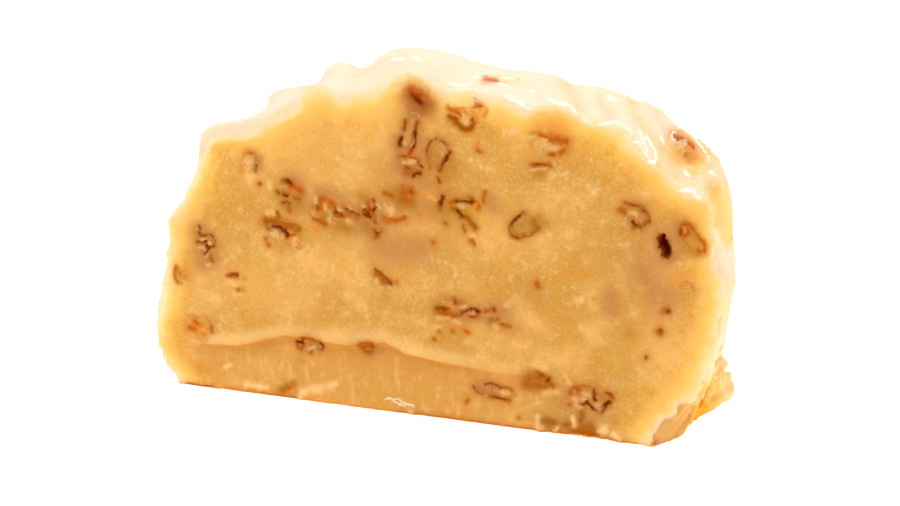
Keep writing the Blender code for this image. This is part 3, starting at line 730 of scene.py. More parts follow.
MARK_STAINS_AND_LIGHT = [name for name, _, _ in STAIN_COLOURS if name not in ("cream", "stain")]
# A ridge borrows pale as a painted highlight along its crest; a crease, scoop or scar borrows painted shade
BORROWED_STAINS_AND_LIGHT = {
    "scar": {"shade": 0.7}, "crease": {"shade": 0.45}, "scoop": {"shade": 0.8}, "ridge": {"pale": 0.4},
    "smudge": {"skin": 0.42, "gap": 0.6},
}
SOFT_KINDS = (
    "crease", "ridge", "scoop", "smudge", "mauve", "olive", "brown", "orange", "pink", "gold", "tan",
    "amber", "light",
)
EVEN_KINDS = ("amber", "tan", "hole", "glint")
BLEEDING_KINDS = ("skin", "rust", "gap", "dark", "hole")
print(f"{len(STAIN_COLOURS)} stains")


# %% Lay marks on points
def strengthen(numbers, name, strength, chosen=slice(None)):
    """Raises stored numbers to a strength, where that is more."""
    numbers[name][chosen] = np.maximum(numbers[name][chosen], strength)


def lay_marks(marks, points, flat, allowed):
    """Strength of each stain, painted shade and painted highlight at points, and how far the marks rise, in
    mm.
    """
    laid = {name: np.zeros(len(points)) for name in MARK_STAINS_AND_LIGHT}
    sunk = np.zeros(len(points))
    raised = np.zeros(len(points))
    drift = [
        0.14 * noise_at(points, 1.1, shift) + 0.09 * noise_at(points, 0.45, shift + 7.0)
        for shift in (3.0, 13.0)
    ]
    flat = flat + np.stack(drift, 1)
    uneven = noise_at(points, 0.8, 31.0)
    faint = np.clip(1.1 + 0.8 * noise_at(points, 1.7, 37.0), 0.55, 1.0)
    for kind, width, height, path in marks:
        reach = 2.0 * width + 0.8
        near = (flat > path.min(0) - reach).all(1) & (flat < path.max(0) + reach).all(1)
        chosen = np.flatnonzero(near & allowed)
        if len(chosen) == 0:
            continue
        distance = path_distance(flat[chosen], path)
        roughness, firmness = (0.3, 2.2) if kind in SOFT_KINDS else (0.7, 2.8)
        ragged_width = width * (1.1 + roughness * uneven[chosen])
        strength = 1.0 / (1.0 + np.exp((2.0 * distance / ragged_width - 1.0) * firmness))
        strength = np.minimum(1.12 * strength, 1.0)
        if kind not in EVEN_KINDS:
            strength *= faint[chosen]
        for name, share in BORROWED_STAINS_AND_LIGHT.get(kind, {kind: 1.0}).items():
            strengthen(laid, name, share * strength, chosen)
        if kind in BLEEDING_KINDS:
            around = 0.45 * np.exp(-((distance / (0.6 * width + 0.15)) ** 2))
            around += 0.50 * np.exp(-((distance / (0.6 * width + 0.7)) ** 2))
            strengthen(laid, "bleed", around, chosen)
        if height < 0.0:
            sunk[chosen] = np.minimum(sunk[chosen], height * strength)
        else:
            raised[chosen] = np.maximum(raised[chosen], height * strength)
    return laid, sunk + raised


CUT_ZONE = 8.0  # mm from the middle of the slice, where the layers under its two cuts begin


def lay_cut_marks(points):
    return lay_marks(cut_marks, points, points[:, [0, 2]], points[:, 1] < -CUT_ZONE)


# %% [markdown]
# ## Outlines of the cut pecans
# The knife left each pecan piece with a flat section. Its outline tells where the fudge ends and the
# nut begins, so the distance to it places the thin dark skin, the stain in the fudge around it, and
# the step down under the nut.


# %% Outlines and distances to them
def section_of(name):
    """The edges of a pecan's flat section, as (x, z) pairs in mm."""
    low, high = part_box(name)
    level = low.y if "front" in name else high.y
    solid = merged_copy(name)
    flat = {face for face in solid.faces if all(abs(v.co.y - level) < 0.003 * MM for v in face.verts)}
    pairs = [
        [(v.co.x / MM, v.co.z / MM) for v in edge.verts]
        for edge in solid.edges
        if len(flat.intersection(edge.link_faces)) == 1
    ]
    solid.free()
    return np.array(pairs)


def depth_inside(flat, section):
    """How far points (x, z) lie inside a section, negative outside it."""
    nearest = np.full(len(flat), 1e9)
    inside = np.zeros(len(flat), bool)
    for a, b in section:
        nearest = np.minimum(nearest, path_distance(flat, (a, b)))
        if a[1] != b[1]:
            crossing = a[0] + (b[0] - a[0]) * (flat[:, 1] - a[1]) / (b[1] - a[1])
            inside ^= ((a[1] > flat[:, 1]) != (b[1] > flat[:, 1])) & (flat[:, 0] < crossing)
    return np.where(inside, nearest, -nearest)


sections = {name: section_of(name) for name in pecan_names if "crust" not in name}
print(f"{len(sections)} sections, {min(map(len, sections.values()))} or more edges each")


def section_depths(points, reach):
    """For each pecan's section, the points near it and how far they lie inside it."""
    flat = points[:, [0, 2]]
    for name, section in sections.items():
        side = points[:, 1] < -CUT_ZONE if "front" in name else points[:, 1] > CUT_ZONE
        low, high = section.min((0, 1)) - reach, section.max((0, 1)) + reach
        chosen = np.flatnonzero(side & (flat > low).all(1) & (flat < high).all(1))
        yield name, chosen, depth_inside(flat[chosen], section)


# %% [markdown]
# ## Finer faces where the detail is
# The marks are a quarter of a millimetre wide, and faces that small all over would be too many.
# So only the faces near an outline or a mark are split, twice at the marks.


# %% Split faces near outlines and marks
def split_near(shape, wanted):
    edges = [e for e in shape.edges if wanted[e.verts[0].index] and wanted[e.verts[1].index]]
    bmesh.ops.subdivide_edges(shape, edges=edges, cuts=1, use_grid_fill=True, use_single_edge=True)
    shape.verts.index_update()


def near_marks(flat, marks, wanted_kind, margin):
    """Whether points lie that near to a mark of a wanted kind."""
    near = np.zeros(len(flat), bool)
    for kind, width, _, path in marks:
        if wanted_kind(kind):
            near |= path_distance(flat, path) < width / 2.0 + margin
    return near


points = points_of(skin)
wanted = points[:, 1] < -9.0
for _, chosen, depth in section_depths(points, 1.5):
    wanted[chosen[np.abs(depth) < 1.0]] = True
split_near(skin, wanted)
points = points_of(skin)
crisp = near_marks(points[:, [0, 2]], cut_marks, lambda kind: kind not in SOFT_KINDS, 0.3)
wanted = crisp & (points[:, 1] < -CUT_ZONE)
# The edge of the front cut at the lower right, where it is broken
corner = (points[:, 0] > 42.0) & (points[:, 2] < 38.0) & (points[:, 1] < -9.5)
wanted[corner] |= from_rim(points[corner]) < 1.6
for name, chosen, depth in section_depths(points, 1.5):
    if "front" in name:
        wanted[chosen[np.abs(depth - 0.3) < 0.5]] = True
split_near(skin, wanted)
# The crumbling right end of the base, and the highlights on the crust
for _ in range(2):
    points = points_of(skin)
    wanted = (points > (50.0, -8.0, -1.0)).all(1) & (points[:, 2] < 16.0) & (points[:, 1] < 9.0)
    wanted |= near_marks(on_stencil(points), crust_marks, lambda kind: kind == "glint", 0.5)
    wanted &= normals_of(skin) @ np.array(camera.location) > 0.0
    split_near(skin, wanted & (from_crust(points) < 0.6))
print(f"skin: {len(skin.verts)} points, {len(skin.faces)} faces")

# %% [markdown]
# ## Relief of the fudge
# Fudge is a paste of fine sugar crystals: its cut is pebbled, its torn parts are streaky, and its
# crust sets in folds. Noise of several sizes moves the skin in and out. The noise for the crust is
# sheared, because the folds lean to the left on their way back, as the solid's own do.

# %% Measure the split skin
points = points_of(skin)
normals = normals_of(skin)
inset = from_crust(points)
rim_distance = from_rim(points)
cut = slope(inset, 0.15, 0.9)
front = slope(-points[:, 1], 6.0, 9.0)
raised_off_base = slope(points[:, 2], 0.0, 0.8)
x, y, z = points.T
# The lip that the knife left: height of its edge, in mm, at each of these places along x
LIP_X = (-49.0, -40.0, -29.5, -16.0, -8.0, -4.0, 8.0, 20.0, 30.0)
LIP_Z = (9.4, 10.4, 13.6, 13.2, 14.9, 12.8, 11.6, 11.2, 12.0)
above_lip = z - np.interp(x, LIP_X, LIP_Z)
lip_strength = front * cut * slope(x, -52.0, -46.0) * slope(27.0 - x, 0.0, 9.0)
fading = 1.0 - 0.6 * slope(x, 4.0, 16.0)
drag = lip_strength * slope(-above_lip, 0.0, 3.0)
# Painted highlight: a pale band along the top of the lip, where it catches the light from above
lip = fading * lip_strength * np.exp(-(((above_lip - 1.4) / 1.4) ** 2))
lip_shadow = lip_strength * slope(-above_lip, -0.2, 0.4) * np.exp(np.minimum(above_lip, 0.0) / 2.2)
print(f"{int((cut > 0.5).sum())} points on the cuts, {int((drag > 0.5).sum())} on the dragged part")

# %% Pebbles, streaks and folds
pebbles = (
    0.18 * noise_at(points, 7.0)
    + 0.12 * noise_at(points, 2.8, 3.0)
    + 0.08 * noise_at(points, 1.2, 7.0) * (1.0 + 1.5 * noise_at(points, 9.0, 11.0))
)
streaks = 0.16 * noise_at(points, 1.6, 5.0, (1.0, 1.0, 6.0)) + 0.12 * noise_at(points, 1.3, 9.0)
leaning = points.copy()
leaning[:, 0] += 0.36 * (y + 12.0)
folds = 0.30 * noise_at(leaning, 7.0, 2.0, (1.0, 3.0, 1.0)) + 0.10 * noise_at(leaning, 2.6, 4.0)
rise = cut * (pebbles * (1.0 - 0.4 * drag) + drag * streaks) + (1.0 - cut) * folds
rise *= raised_off_base
print(f"pebbles up to {pebbles.max():.2f} mm, folds up to {folds.max():.2f} mm")

# %% Marks of the crust
shows = (normals @ np.array(camera.location) > 0.0) & ((normals[:, 1] > -0.7) | ((x > 44.0) & (cut < 0.3)))
# The crust's marks lay stains, painted shade and painted highlights
crust_stains_and_shading, crust_rise = lay_marks(crust_marks, points, on_stencil(points), shows)
rise += crust_rise * raised_off_base
print(f"marks of the crust from {crust_rise.min():.2f} to {crust_rise.max():.2f} mm")

# %% Rolls in the crust and its torn end
# Rolls and hollows that the photograph shows: where, reach, and how far out, in mm
ROLLS = (
    ((-35.5, 5, 60.5), (4.5, 8, 4), 2.0), ((-26.5, 7, 64.5), (3.5, 6, 3.5), 1.2),
    ((-40, 0, 56), (3.5, 4, 3), -1.2), ((21, 8, 66.7), (4, 6, 3), 0.6),
    ((-43, 6, 54.4), (4.5, 4.5, 3.5), -2.4), ((-46.5, 12, 52.8), (4.5, 5, 3.5), -2.6),
    ((-38.3, 6, 58.4), (2.4, 5, 2.4), 1.3), ((-41.2, 12, 57), (2.4, 5, 2.4), 1.3),
    ((-27.2, 6, 63.4), (2, 5, 2), 0.9), ((-29.6, 12, 62.2), (2, 5, 2), 0.9),
    ((27.5, 8, 64.8), (3, 6, 3), 0.5), ((35.5, 8, 63), (3, 6, 3), -0.9),
    ((43.5, 8, 60), (3, 6, 3), 0.7), ((48, 8, 57), (3, 4, 3), 0.5),
    ((53, 8, 53), (4, 6, 4), 0.8), ((56.5, 8, 38.5), (3, 6, 5), 0.3),
    ((48.5, -6, 2), (5, 5, 6), 1.2), ((52, 2, 1), (5, 5, 3), 1.0), ((55.2, 12, 9.5), (3, 5, 2.5), 0.9),
)
for place, reach, amount in ROLLS:
    away = (((points - place) / reach) ** 2).sum(1)
    rise += (1.0 - cut) * amount * np.exp(-away)
rise += 0.3 * (1.0 - cut)
torn = slope(x, 46.0, 49.0) * slope(17.0 - z, 0.0, 3.0) * slope(y, -11.0, -7.0) * (1.0 - cut)
flakes = 0.9 * slope(noise_at(points, 2.2, 61.0), -0.12, 0.12) + 0.4 * noise_at(points, 0.8, 63.0)
rise += torn * slope(z, 1.0, 3.0) * flakes
torn *= 1.0 - 0.6 * slope(x, 54.5, 58.0)
print(f"{len(ROLLS)} rolls and hollows, {int((torn > 0.5).sum())} points in the torn end of the base")

# %% [markdown]
# ## The ragged edge of the front cut
# The knife pulled at the crust as it came out, so the edge of the front cut is toothed, and at the
# lower right it broke away in flakes. The edge is given by its places, one after another round the
# slice. Seen from a hub in the middle of the cut, each direction has one reach, so the skin near
# the edge only has to move towards the hub or away from it.

# %% Edge of the front cut
# Places in the photograph, in pixels, from the left end of the base over the top
OUTLINE = """
183 385, 175 375, 167 365, 163 355, 159 345, 157 335, 155 325, 157 315, 158 305, 160 295, 162 285, 163 277,
165 270, 166 260, 166 254, 169 246, 170 238, 168 231, 167 224, 170 218, 176 210, 181 205, 185 200, 186 195,
188 190, 195 181, 197 175, 198 170, 201 165, 203 158, 207 152, 209 146, 212 142, 219 139, 228 137, 240 138,
250 135, 258 129, 266 124, 280 120, 290 117, 299 111, 301 98, 306 91, 315 88, 325 88, 333 95, 340 102,
347 105, 351 98, 358 95, 370 95, 380 93, 387 86, 393 80, 401 76, 410 74, 420 77, 430 86, 440 93, 450 95,
465 93, 475 97, 490 100, 505 101, 515 105, 525 110, 532 112, 540 108, 550 107, 560 109, 570 112, 577 118,
585 124, 595 128, 610 128, 620 129, 628 133, 633 142, 642 153, 650 162, 655 168, 662 172, 668 182, 676 188,
684 195, 695 199, 706 202, 712 207, 714 215, 714 228, 713 238, 718 243, 714 249, 713 260, 714 270, 718 276,
724.5 281, 723 286, 721.5 293, 724.5 306, 721 309, 719.5 320, 718 330, 718 342, 714.5 355, 713 363,
710 364, 708 370, 706 377, 702 383, 704.5 385.5, 703 390, 699.5 392, 697.5 402, 694 404.5, 688 403.5,
680 403.8, 677.5 405.5, 677 410, 676 414, 671 416.5, 663 417, 660 420.5, 659 424, 656 431, 652 436,
653 440, 648 442
"""
HUB = np.array((2.0, 22.0))  # x and z in mm


def around_hub(flat):
    """Direction, from the left end of the base over the top, and reach of points (x, z)."""
    away = flat - HUB
    turn = np.arctan2(away[:, 1], away[:, 0])
    return -np.where(turn < -2.6, turn + 2.0 * math.pi, turn), np.linalg.norm(away, axis=1)


solid_rim = np.array([p[:] for p in rim_points if p.y < 0.0]) / MM
rim_turn, rim_reach = around_hub(solid_rim[:, [0, 2]])
order = np.argsort(rim_turn)
outline = np.array([place.split() for place in OUTLINE.split(",")], float)
edge_turn, edge_reach = around_hub(to_cut(outline))
turn, _ = around_hub(points[:, [0, 2]])
further = np.interp(turn, edge_turn, edge_reach) - np.interp(turn, rim_turn[order], rim_reach[order])
ragged = slope(x, 44.0, 50.0) * slope(40.0 - z, 0.0, 4.0)
behind = np.where(further < 0.0, 1.2, 3.0) * (1.0 - ragged) + 0.9 * ragged
near_edge = np.exp(-((rim_distance / (cut * 2.2 + (1.0 - cut) * behind)) ** 2)) * (y < 0.0)
near_rim = np.exp(-((rim_distance / 1.1) ** 2))
teeth = 0.22 * noise_at(points, 2.3, 6.0) + 0.30 * noise_at(points, 0.95, 1.0) + 0.25
outwards = (points - (HUB[0], 0.0, HUB[1])) * (1.0, 0.0, 1.0)
outwards /= np.linalg.norm(outwards, axis=1)[:, None]
points += outwards * ((near_edge * further + near_rim * teeth) * raised_off_base)[:, None]
print(f"the edge moves {further.min():.1f} to {further.max():.1f} mm")

# %% Move the skin
def move_to(shape, points):
    for v, point in zip(shape.verts, points):
        v.co = Vector(point) * MM
        v.co.z = max(v.co.z, 0.0)
    shape.normal_update()


points += normals * rise[:, None]
points[:, 2] -= 0.45 * (1.0 - slope(z, 0.3, 1.8))
points[:, 1] += np.sign(y) * 0.3 * (1.0 - slope(z, 0.2, 1.0)) * slope(np.abs(y), 9.0, 11.0)
move_to(skin, points)
skin_tree = BVHTree.FromBMesh(skin)
print(f"relief from {rise.min():.2f} to {rise.max():.2f} mm")

# %% [markdown]
# ## Numbers for the fudge's colours
# The finish needs to know where the crust ends, where nuts have stained the fudge, and where the
# surface is hollow, because light that enters fudge comes out more orange there; that is painted
# in as shade. It also paints shade on the crust where it faces right, and a glow near the rims.
# These numbers are worked out once and stored on the mesh.


# %% Hollows
def spread(shape, values, passes):
    """Averages each point with its neighbours, several times."""
    ends = np.array([[v.index for v in e.verts] for e in shape.edges])
    count = np.bincount(ends.ravel(), minlength=len(values))[:, None]
    for _ in range(passes):
        total = np.zeros_like(values)
        for axis in range(values.shape[1]):
            for here, there in ((0, 1), (1, 0)):
                total[:, axis] += np.bincount(ends[:, here], values[ends[:, there], axis], len(values))
        values = 0.5 * values + 0.5 * total / count
    return values


skin.verts.index_update()
points = points_of(skin)
normals = normals_of(skin)
# Painted shade: the crust's hollows are coloured a warmer orange, for the light that comes out of the fudge
# there
hollow = ((spread(skin, points, 6) - points) * normals).sum(1) * (1.0 - cut)
# Painted shade: the crust where it faces right is coloured a deeper orange cream, as that side lies in shade
flank = slope(normals[:, 0], 0.45, 0.9) * (1.0 - cut)
# Painted light: the crust is coloured yellower near the rims, for the light that shines through the thin
# edge
rim = np.exp(-((rim_distance / 1.5) ** 2))
print(f"hollows up to {hollow.max():.2f} mm, ridges up to {-hollow.min():.2f} mm")

# %% [markdown]
# ## Marks in the fudge, and room for the pecans
# The nut's section sits a little lower than the cut, and a ragged film of fudge smears over its
# edge, because the knife drags the soft fudge but not the nut. So the fudge goes down steeply under
# each pecan, along a line that noise moves in and out.

# %% Marks and steps
UNDER_PECAN = 2.6  # mm
OVERLAP_OF_THE_HOLE = 0.4  # mm; the dark hole has a clean edge
stains, mark_rise = lay_cut_marks(points)
for name, strength in crust_stains_and_shading.items():
    strengthen(stains, name, strength)
# Painted shadow: a thin dark line where the base meets the table, laid on as gap
contact_shadow = slope(0.5 - points[:, 2], 0.0, 0.4) * (0.6 + 0.5 * noise_at(points, 2.0, 41.0))
strengthen(stains, "gap", contact_shadow)
points += normals * mark_rise[:, None]
outward_y = np.where(y < 0.0, -1.0, 1.0)
film = np.maximum(0.30 + 0.40 * noise_at(points, 1.5, 17.0) + 0.15 * noise_at(points, 0.6, 19.0), 0.08)
for name, chosen, depth in section_depths(points, 1.5):
    overlap = OVERLAP_OF_THE_HOLE if name == "pecan_front_20" else film[chosen]
    points[chosen, 1] -= outward_y[chosen] * UNDER_PECAN * slope(depth - overlap, 0.0, 0.8)
    if "back" in name:
        shown = slope(noise_at(points[chosen], 2.0, 5.0), -0.25, 0.15)
        strengthen(stains, "skin", 0.9 * shown * np.exp(-(((depth - 0.2) / 0.3) ** 2)), chosen)
        strengthen(stains, "bleed", 0.5 * shown * np.exp(-((depth / 0.8) ** 2)), chosen)
move_to(skin, points)
print(f"{len(sections)} steps of {UNDER_PECAN} mm")

# %% [markdown]
# ## Looks of the pecans
# No two pieces look alike: some are cut through pale flesh, some show a stained or a skinned side.
# Each has a tone (pale to dark), a warmth (grey to orange), the strength of its skin ring, and the
# strength and reach of its stain. Pieces that the photograph doesn't show get theirs by chance.

# %% Table of the pecans' looks: tone, warmth, skin ring, stain, reach of the stain in mm
# The first row is for pecan_front_01, and so on
FRONT_LOOKS = (
    (0.10, 0.20, 0.0, 0.20, 1.2), (0.35, 0.40, 0.0, 0.45, 2.0), (0.10, 0.50, 0.0, 0.25, 1.5),
    (0.30, 0.80, 0.0, 0.50, 1.6), (0.30, 0.50, 0.0, 0.50, 1.6), (0.45, 0.30, 0.0, 0.55, 2.0),
    (0.50, 0.20, 0.0, 0.55, 2.6), (0.15, 0.80, 0.0, 0.20, 1.5), (0.10, 0.90, 0.0, 0.15, 1.5),
    (0.80, 0.60, 0.0, 0.75, 1.2), (0.45, 0.15, 0.0, 0.70, 1.6), (0.50, 0.40, 0.0, 0.65, 1.6),
    (0.40, 0.20, 0.0, 0.55, 1.4), (0.15, 0.90, 0.0, 0.15, 1.5), (0.20, 0.60, 0.0, 0.20, 1.6),
    (0.55, 0.25, 0.0, 0.25, 1.4), (0.25, 0.50, 0.0, 0.20, 1.4), (0.20, 0.60, 0.0, 0.10, 1.2),
    (0.45, 0.25, 0.0, 0.35, 2.0), (1.00, 0.90, 1.0, 0.60, 1.6), (0.30, 0.70, 0.0, 0.40, 1.8),
    (0.15, 0.70, 0.0, 0.20, 1.6), (0.30, 0.50, 0.0, 0.25, 1.6), (0.35, 0.60, 0.0, 0.50, 1.6),
    (0.35, 0.50, 0.0, 0.40, 1.6), (0.45, 0.30, 0.0, 0.40, 1.4), (0.50, 0.70, 0.0, 0.45, 1.4),
    (0.50, 0.25, 0.0, 0.35, 1.4), (0.50, 0.80, 0.0, 0.35, 1.4), (0.40, 0.30, 0.0, 0.45, 1.6),
    (0.30, 0.60, 0.0, 0.45, 1.6),
)
PECAN_LOOKS = {f"pecan_front_{number:02d}": look for number, look in enumerate(FRONT_LOOKS, 1)}
PECAN_LOOKS["pecan_crust_01"] = (0.50, 0.20, 0.0, 0.0, 1.0)
PECAN_LOOKS["pecan_crust_02"] = (0.20, 0.10, 0.0, 0.0, 1.0)
chance = random.Random(21)
for name in pecan_names:
    if name not in PECAN_LOOKS:
        PECAN_LOOKS[name] = (
            chance.uniform(0.2, 0.8), chance.uniform(0.1, 0.9), chance.uniform(0.7, 0.95),
            chance.uniform(0.4, 0.7), chance.uniform(1.2, 2.2),
        )

# Stains with no nut at the surface: x, z, reach along x and z in mm, strength
DEEPER_STAINS = (
    (21.0, 27.6, 3.2, 2.6, 0.45), (17.8, 20.5, 3.0, 2.0, 0.35), (41.5, 22.4, 1.4, 1.8, 0.55),
)
print(f"{len(PECAN_LOOKS)} pecans, {len(DEEPER_STAINS)} deeper stains")

# %% Stains
stain = np.zeros(len(points))
for name, chosen, depth in section_depths(points, 7.0):
    _, _, _, strength, reach = PECAN_LOOKS[name]
    uneven = 1.0 + 0.5 * noise_at(points[chosen], 2.5, len(name) + reach)
    stain[chosen] += 1.2 * strength * np.exp(-np.maximum(-depth, 0.0) / reach) * uneven
for centre_x, centre_z, reach_x, reach_z, strength in DEEPER_STAINS:
    away = ((points[:, 0] - centre_x) / reach_x) ** 2 + ((points[:, 2] - centre_z) / reach_z) ** 2
    stain += strength * np.exp(-away) * (points[:, 1] < -CUT_ZONE)
stain *= 1.0 + 0.5 * noise_at(points, 1.8, 51.0)
stain = np.clip(stain, 0.0, 1.0) * cut
print(f"{int((stain > 0.1).sum())} stained points")

# %% [markdown]
# ## The fudge's finish
# Butter fudge is cloudy: light goes in a few millimetres and comes out yellower. A flat brown would
# look like clay, so the shader scatters light inside, and its colour runs from cream at the rim
# through yellow to tan in the middle of the cut; the cream and yellow near the rim are painted glow,
# light shining through the thin edge. The crust's cream is partly painted light as well, the glare of
# the top lamp. Noise of four sizes mottles it, and the numbers on the mesh bring in the stains, the
# marks, and the painted shade of the hollows and of the crust's right side.

# %% Finish of the fudge
fudge_finish = Finish("butter_fudge", {
    "Subsurface Weight": 0.55,
    "Subsurface Radius": (1.0, 0.45, 0.14),
    "Subsurface Scale": 0.0028,
    "Specular IOR Level": 0.0,
    "Coat Roughness": 0.15,
})
f = fudge_finish
cut_wire = f.read("cut")
broad = f.grain(14.0, detail=2.0)
patchy = f.grain(5.0, detail=3.0, shift=3.0)
mealy = f.grain(0.8, detail=3.0, shift=7.0)
mottle = f.grain(7.0, detail=6.0, shift=12.0, rough=0.62)
flecks = f.grain(2.4, detail=4.0, shift=31.0, rough=0.6)
grit = f.grain(0.55, detail=3.0, shift=45.0, rough=0.7)
drawn = f.grain(1.6, (1.0, 1.0, 5.0), 2.0, 5.0)
depth_wire = f.read("inset") + (broad - 0.5) * 0.25 + (patchy - 0.5) * 0.12
inside = f.read("inset").between(0.05, 0.35) * 0.7 + 0.3
drag_wire = f.read("drag")
# Painted glow: the cut runs from cream at the rim through yellow before its own tan, for the light that
# shines through the thin edge
cut_colour = f.layered(f.ramp(depth_wire, (
    (0.00, screen(244, 219, 170)),
    (0.05, screen(246, 209, 138)),
    (0.13, screen(243, 192, 94)),
    (0.30, screen(220, 163, 74)),
    (0.50, screen(205, 154, 73)),
    (1.00, screen(202, 151, 69)),
)), (
    (mottle.between(0.46, 0.74) * inside * 0.65, (233, 181, 104)),
    (mottle.between(0.54, 0.28) * inside * 0.65, (203, 138, 54)),
    (flecks.between(0.54, 0.82) * inside * 0.7, (242, 198, 140)),
    (flecks.between(0.46, 0.28) * inside * 0.6, (206, 140, 36)),
    (grit.between(0.52, 0.74) * inside * 0.48, (238, 196, 130)),
    (grit.between(0.48, 0.26) * inside * 0.48, (188, 122, 40)),
    (f.specks(0.6, 0.08, 1.0) * mealy * inside * 0.7, (255, 232, 190)),
    (f.specks(1.3, 0.06, 4.0) * mealy * inside, (255, 230, 184)),
    (drag_wire * 0.4, (228, 170, 88)),
    (drag_wire * drawn.between(0.52, 0.74) * 0.40, (244, 196, 122)),
    # Painted highlight along the top of the lip, and painted shadow under it
    (f.read("lip") * 0.50, (240, 200, 132)),
    (f.read("lip_shadow") * 0.80, (196, 112, 34)),
))
# Painted light: the crust's pale cream, lighter than the cut, is partly its own colour and partly the glare
# of the strong top lamp
crust_colour = f.mixed(broad.between(0.35, 0.70), screen(250, 213, 186), screen(250, 210, 176))
# Over it go its own patches, then painted shade where it faces right, a painted glow near the rims and
# painted shade in the hollows
crust_colour = f.layered(crust_colour, (
    (patchy.between(0.50, 0.75) * 0.5, (250, 215, 196)),
    (f.read("flank") * 0.55, (252, 200, 174)),
    (f.read("rim") * 0.60, (252, 210, 158)),
    (f.read("hollow").between(0.02, 0.30) * 0.7, (244, 192, 116)),
))
torn_colour = f.mixed(patchy.between(0.42, 0.62), screen(244, 190, 116), screen(248, 206, 152))
crust_colour = f.mixed(f.read("torn") * 0.85, crust_colour, torn_colour)


def stain_and_light_layers(finish, left_out):
    """The stains, painted shades and painted highlights that a finish reads from its mesh."""
    return [
        (finish.read(name) * share, tint) for name, share, tint in STAIN_COLOURS if name not in left_out
    ]


colour = f.layered(f.mixed(cut_wire, crust_colour, cut_colour), stain_and_light_layers(f, ("cream",)))
glint = f.read("glint")
f.feed(f.shader.inputs["Base Color"], colour)
f.feed(f.shader.inputs["Roughness"], 0.34 + cut_wire * 0.16 + (mealy - 0.5) * 0.10)
wet = f.grain(3.5, detail=2.0, shift=21.0).between(0.55, 0.68)
dry = 1.0 - f.read("torn")
for name in ("skin", "dark", "gap", "amber", "tan", "hole"):
    dry = dry * (1.0 - f.read(name))
f.feed(f.shader.inputs["Coat Weight"], (0.03 + wet * 0.14 + glint * 0.45) * dry)
fine = f.grain(0.45, detail=3.0, shift=2.0)
relief = mealy * (0.02 + cut_wire * 0.11) + fine * (0.01 + cut_wire * 0.05)
f.feed(f.shader.inputs["Normal"], f.bump(relief, 0.8))
print(f"butter fudge: {len(f.tree.nodes)} nodes")

# %% Make the fudge piece
def keep(piece, numbers):
    """Stores one number for each point of a piece, under each name."""
    for name, values in numbers.items():
        layer = piece.data.attributes.new(name, "FLOAT", "POINT")
        layer.data.foreach_set("value", values.astype(np.float32))


INSET_UNIT = 20.0  # mm from the rim, stored as 1
fudge_piece = new_piece(skin, "fudge_slice", fudge_finish, "fudge", "fudge")
keep(fudge_piece, {
    "inset": np.clip(inset / INSET_UNIT, 0.0, 1.0), "cut": cut, "drag": drag, "hollow": hollow,
    "flank": flank, "rim": rim, "torn": torn, "lip": lip, "lip_shadow": lip_shadow, "stain": stain, **stains,
})
fudge_piece.data.calc_loop_triangles()
print(f"fudge slice: {len(fudge_piece.data.loop_triangles)} triangles")

# %% [markdown]
# ## The pecans
# A pecan's flesh is mealy and cream to tan, under a thin, wrinkled, red-brown skin. Each piece is
# remeshed from its own solid, so it keeps its form and place. Its cut side gets a fine grain, and
# the marks that cross it, and the skin shows where it was cut through at the outline.

# %% Finish of the pecans
pecan_finish = Finish("chopped_pecan", {
    "Subsurface Weight": 0.25,
    "Subsurface Radius": (1.0, 0.4, 0.15),
    "Subsurface Scale": 0.002,
    "Specular IOR Level": 0.0,
    "Coat Roughness": 0.2,
})
p = pecan_finish
tone = p.read("tone")
lumps = p.grain(1.3, detail=3.0, shift=4.0)
meal = p.grain(0.38, detail=3.0, shift=9.0)
blotch = p.grain(2.2, detail=4.0, shift=4.0, rough=0.6)
greyish = p.mixed(tone, screen(230, 174, 110), screen(158, 106, 54))
orange = p.mixed(tone, screen(234, 156, 58), screen(166, 90, 6))
flesh = p.layered(p.mixed(p.read("warmth"), greyish, orange), (
    (blotch.between(0.48, 0.68) * 0.7, (238, 188, 124)),
    (blotch.between(0.48, 0.30) * 0.6, (176, 104, 22)),
    (meal.between(0.50, 0.34) * 0.50, (150, 88, 24)),
    (meal.between(0.54, 0.72) * 0.40, (240, 194, 134)),
    (p.specks(0.7, 0.14, 2.0) * 0.5, (250, 222, 176)),
))
flesh = p.layered(flesh, stain_and_light_layers(p, ("tan", "amber", "shade", "glint")))
flesh = p.mixed(p.read("glint") * 0.75, flesh, screen(255, 232, 196))
p.feed(p.shader.inputs["Base Color"], flesh)
p.feed(p.shader.inputs["Roughness"], 0.40 + meal * 0.2)
p.feed(p.shader.inputs["Coat Weight"], p.read("glint") * 0.5)
p.feed(p.shader.inputs["Normal"], p.bump(meal * 0.08 + lumps * 0.06, 0.8))
print(f"chopped pecan: {len(p.tree.nodes)} nodes")

# %% Make each pecan piece
PECAN_FACE = 0.2  # mm
SUNK = 0.03  # mm from the cut down to a pecan's section
WIDER = 0.5  # mm that a pecan goes on under the fudge round its section
OUTSIDE = 30.0  # mm from the middle of the slice, well clear of both cuts


def to_the_cut(points, side):
    """How far each point has to move along y to lie on the fudge's cut, in mm."""
    moves = np.zeros(len(points))
    for index, (x, y, z) in enumerate(points):
        hit = skin_tree.ray_cast(Vector((x, OUTSIDE * side, z)) * MM, Vector((0.0, -side, 0.0)))[0]
        if hit:
            moves[index] = hit.y / MM - y
    return moves


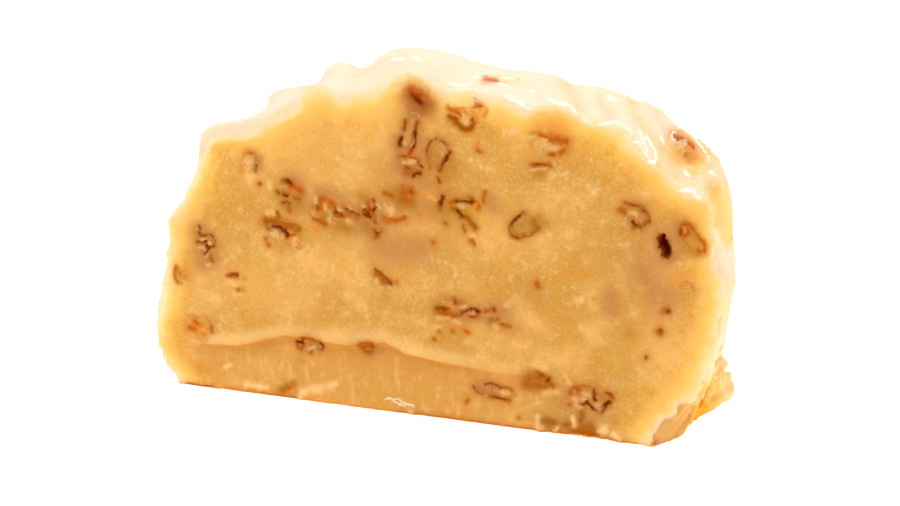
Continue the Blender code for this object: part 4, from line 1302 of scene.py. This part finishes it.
def pecan_piece(name, shift):
    """The shift moves every noise, so that no two pieces are lumpy in the same way."""
    tone, warmth, ring, strength, _ = PECAN_LOOKS[name]
    shape = evened(merged_copy(name), PECAN_FACE)
    smooth(shape, shape.verts, 0.5, 3)
    points = points_of(shape)
    normals = normals_of(shape)
    lumpy = (
        0.22 * noise_at(points, 1.5, shift) + 0.14 * noise_at(points, 0.7, shift + 5.0)
        + 0.06 * noise_at(points, 0.33, 3.0)
    )
    crack = slope(0.16 - np.abs(noise_at(points, 1.3, shift + 9.0)), 0.0, 0.14)
    crack *= slope(noise_at(points, 2.0, shift + 2.0), -0.1, 0.3)
    if "crust" in name:
        stains, _ = lay_marks(crust_marks, points, on_stencil(points), np.ones(len(points), bool))
        skinned = 0.0
        points += normals * (0.50 + 1.0 * lumpy)[:, None]
    else:
        stains, mark_rise = lay_cut_marks(points)
        side = -1.0 if "front" in name else 1.0
        level = points[:, 1].min() if side < 0.0 else points[:, 1].max()
        cap = 1.0 - slope(np.abs(points[:, 1] - level), 0.1, 0.8)
        depth = depth_inside(points[:, [0, 2]], sections[name])
        broken = slope(noise_at(points, 1.6, 2.0 * tone), -0.35, 0.25)
        edge = ring * broken * (1.0 - slope(depth, 0.15, 0.60))
        patches = slope(noise_at(points, 1.1, shift + 4.0), -0.2, 0.3)
        skinned = np.maximum((1.0 - cap) * ring * (0.3 + 0.5 * patches), edge)
        if ring == 1.0:
            skinned[:] = 1.0
        points += normals * ((1.0 - cap) * (0.25 + 0.5 * lumpy))[:, None]
        points[:, [0, 2]] += WIDER * normals[:, [0, 2]]
        rise = (0.6 * lumpy - 0.15 * crack) * slope(depth, 0.1, 0.8) - SUNK + mark_rise
        points[:, 1] += cap * (to_the_cut(points, side) + side * rise)
    strengthen(stains, "skin", skinned)
    strengthen(stains, "rust", (0.8 if ring > 0.0 else 0.3) * crack)
    for v, point in zip(shape.verts, points):
        v.co = Vector(point) * MM
    piece = new_piece(shape, name.replace("pecan", "nut"), pecan_finish, "pecan", name)
    everywhere = np.ones(len(points))
    keep(piece, {
        "tone": tone * everywhere, "warmth": warmth * everywhere, "cream": ("crust" in name) * everywhere,
        "stain": strength * slope(noise_at(points, 2.2, shift), -0.3, 0.5), **stains,
    })
    return piece


nuts = [pecan_piece(name, 3.1 * number) for number, name in enumerate(pecan_names)]
print(f"{len(nuts)} pecans, {sum(len(nut.data.vertices) for nut in nuts)} points")

# %% Measure the finished slice
made_low, made_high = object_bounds()
made_size = (made_high - made_low) / MM
print(f"finished slice {made_size.x:.1f} x {made_size.y:.1f} x {made_size.z:.1f} mm")
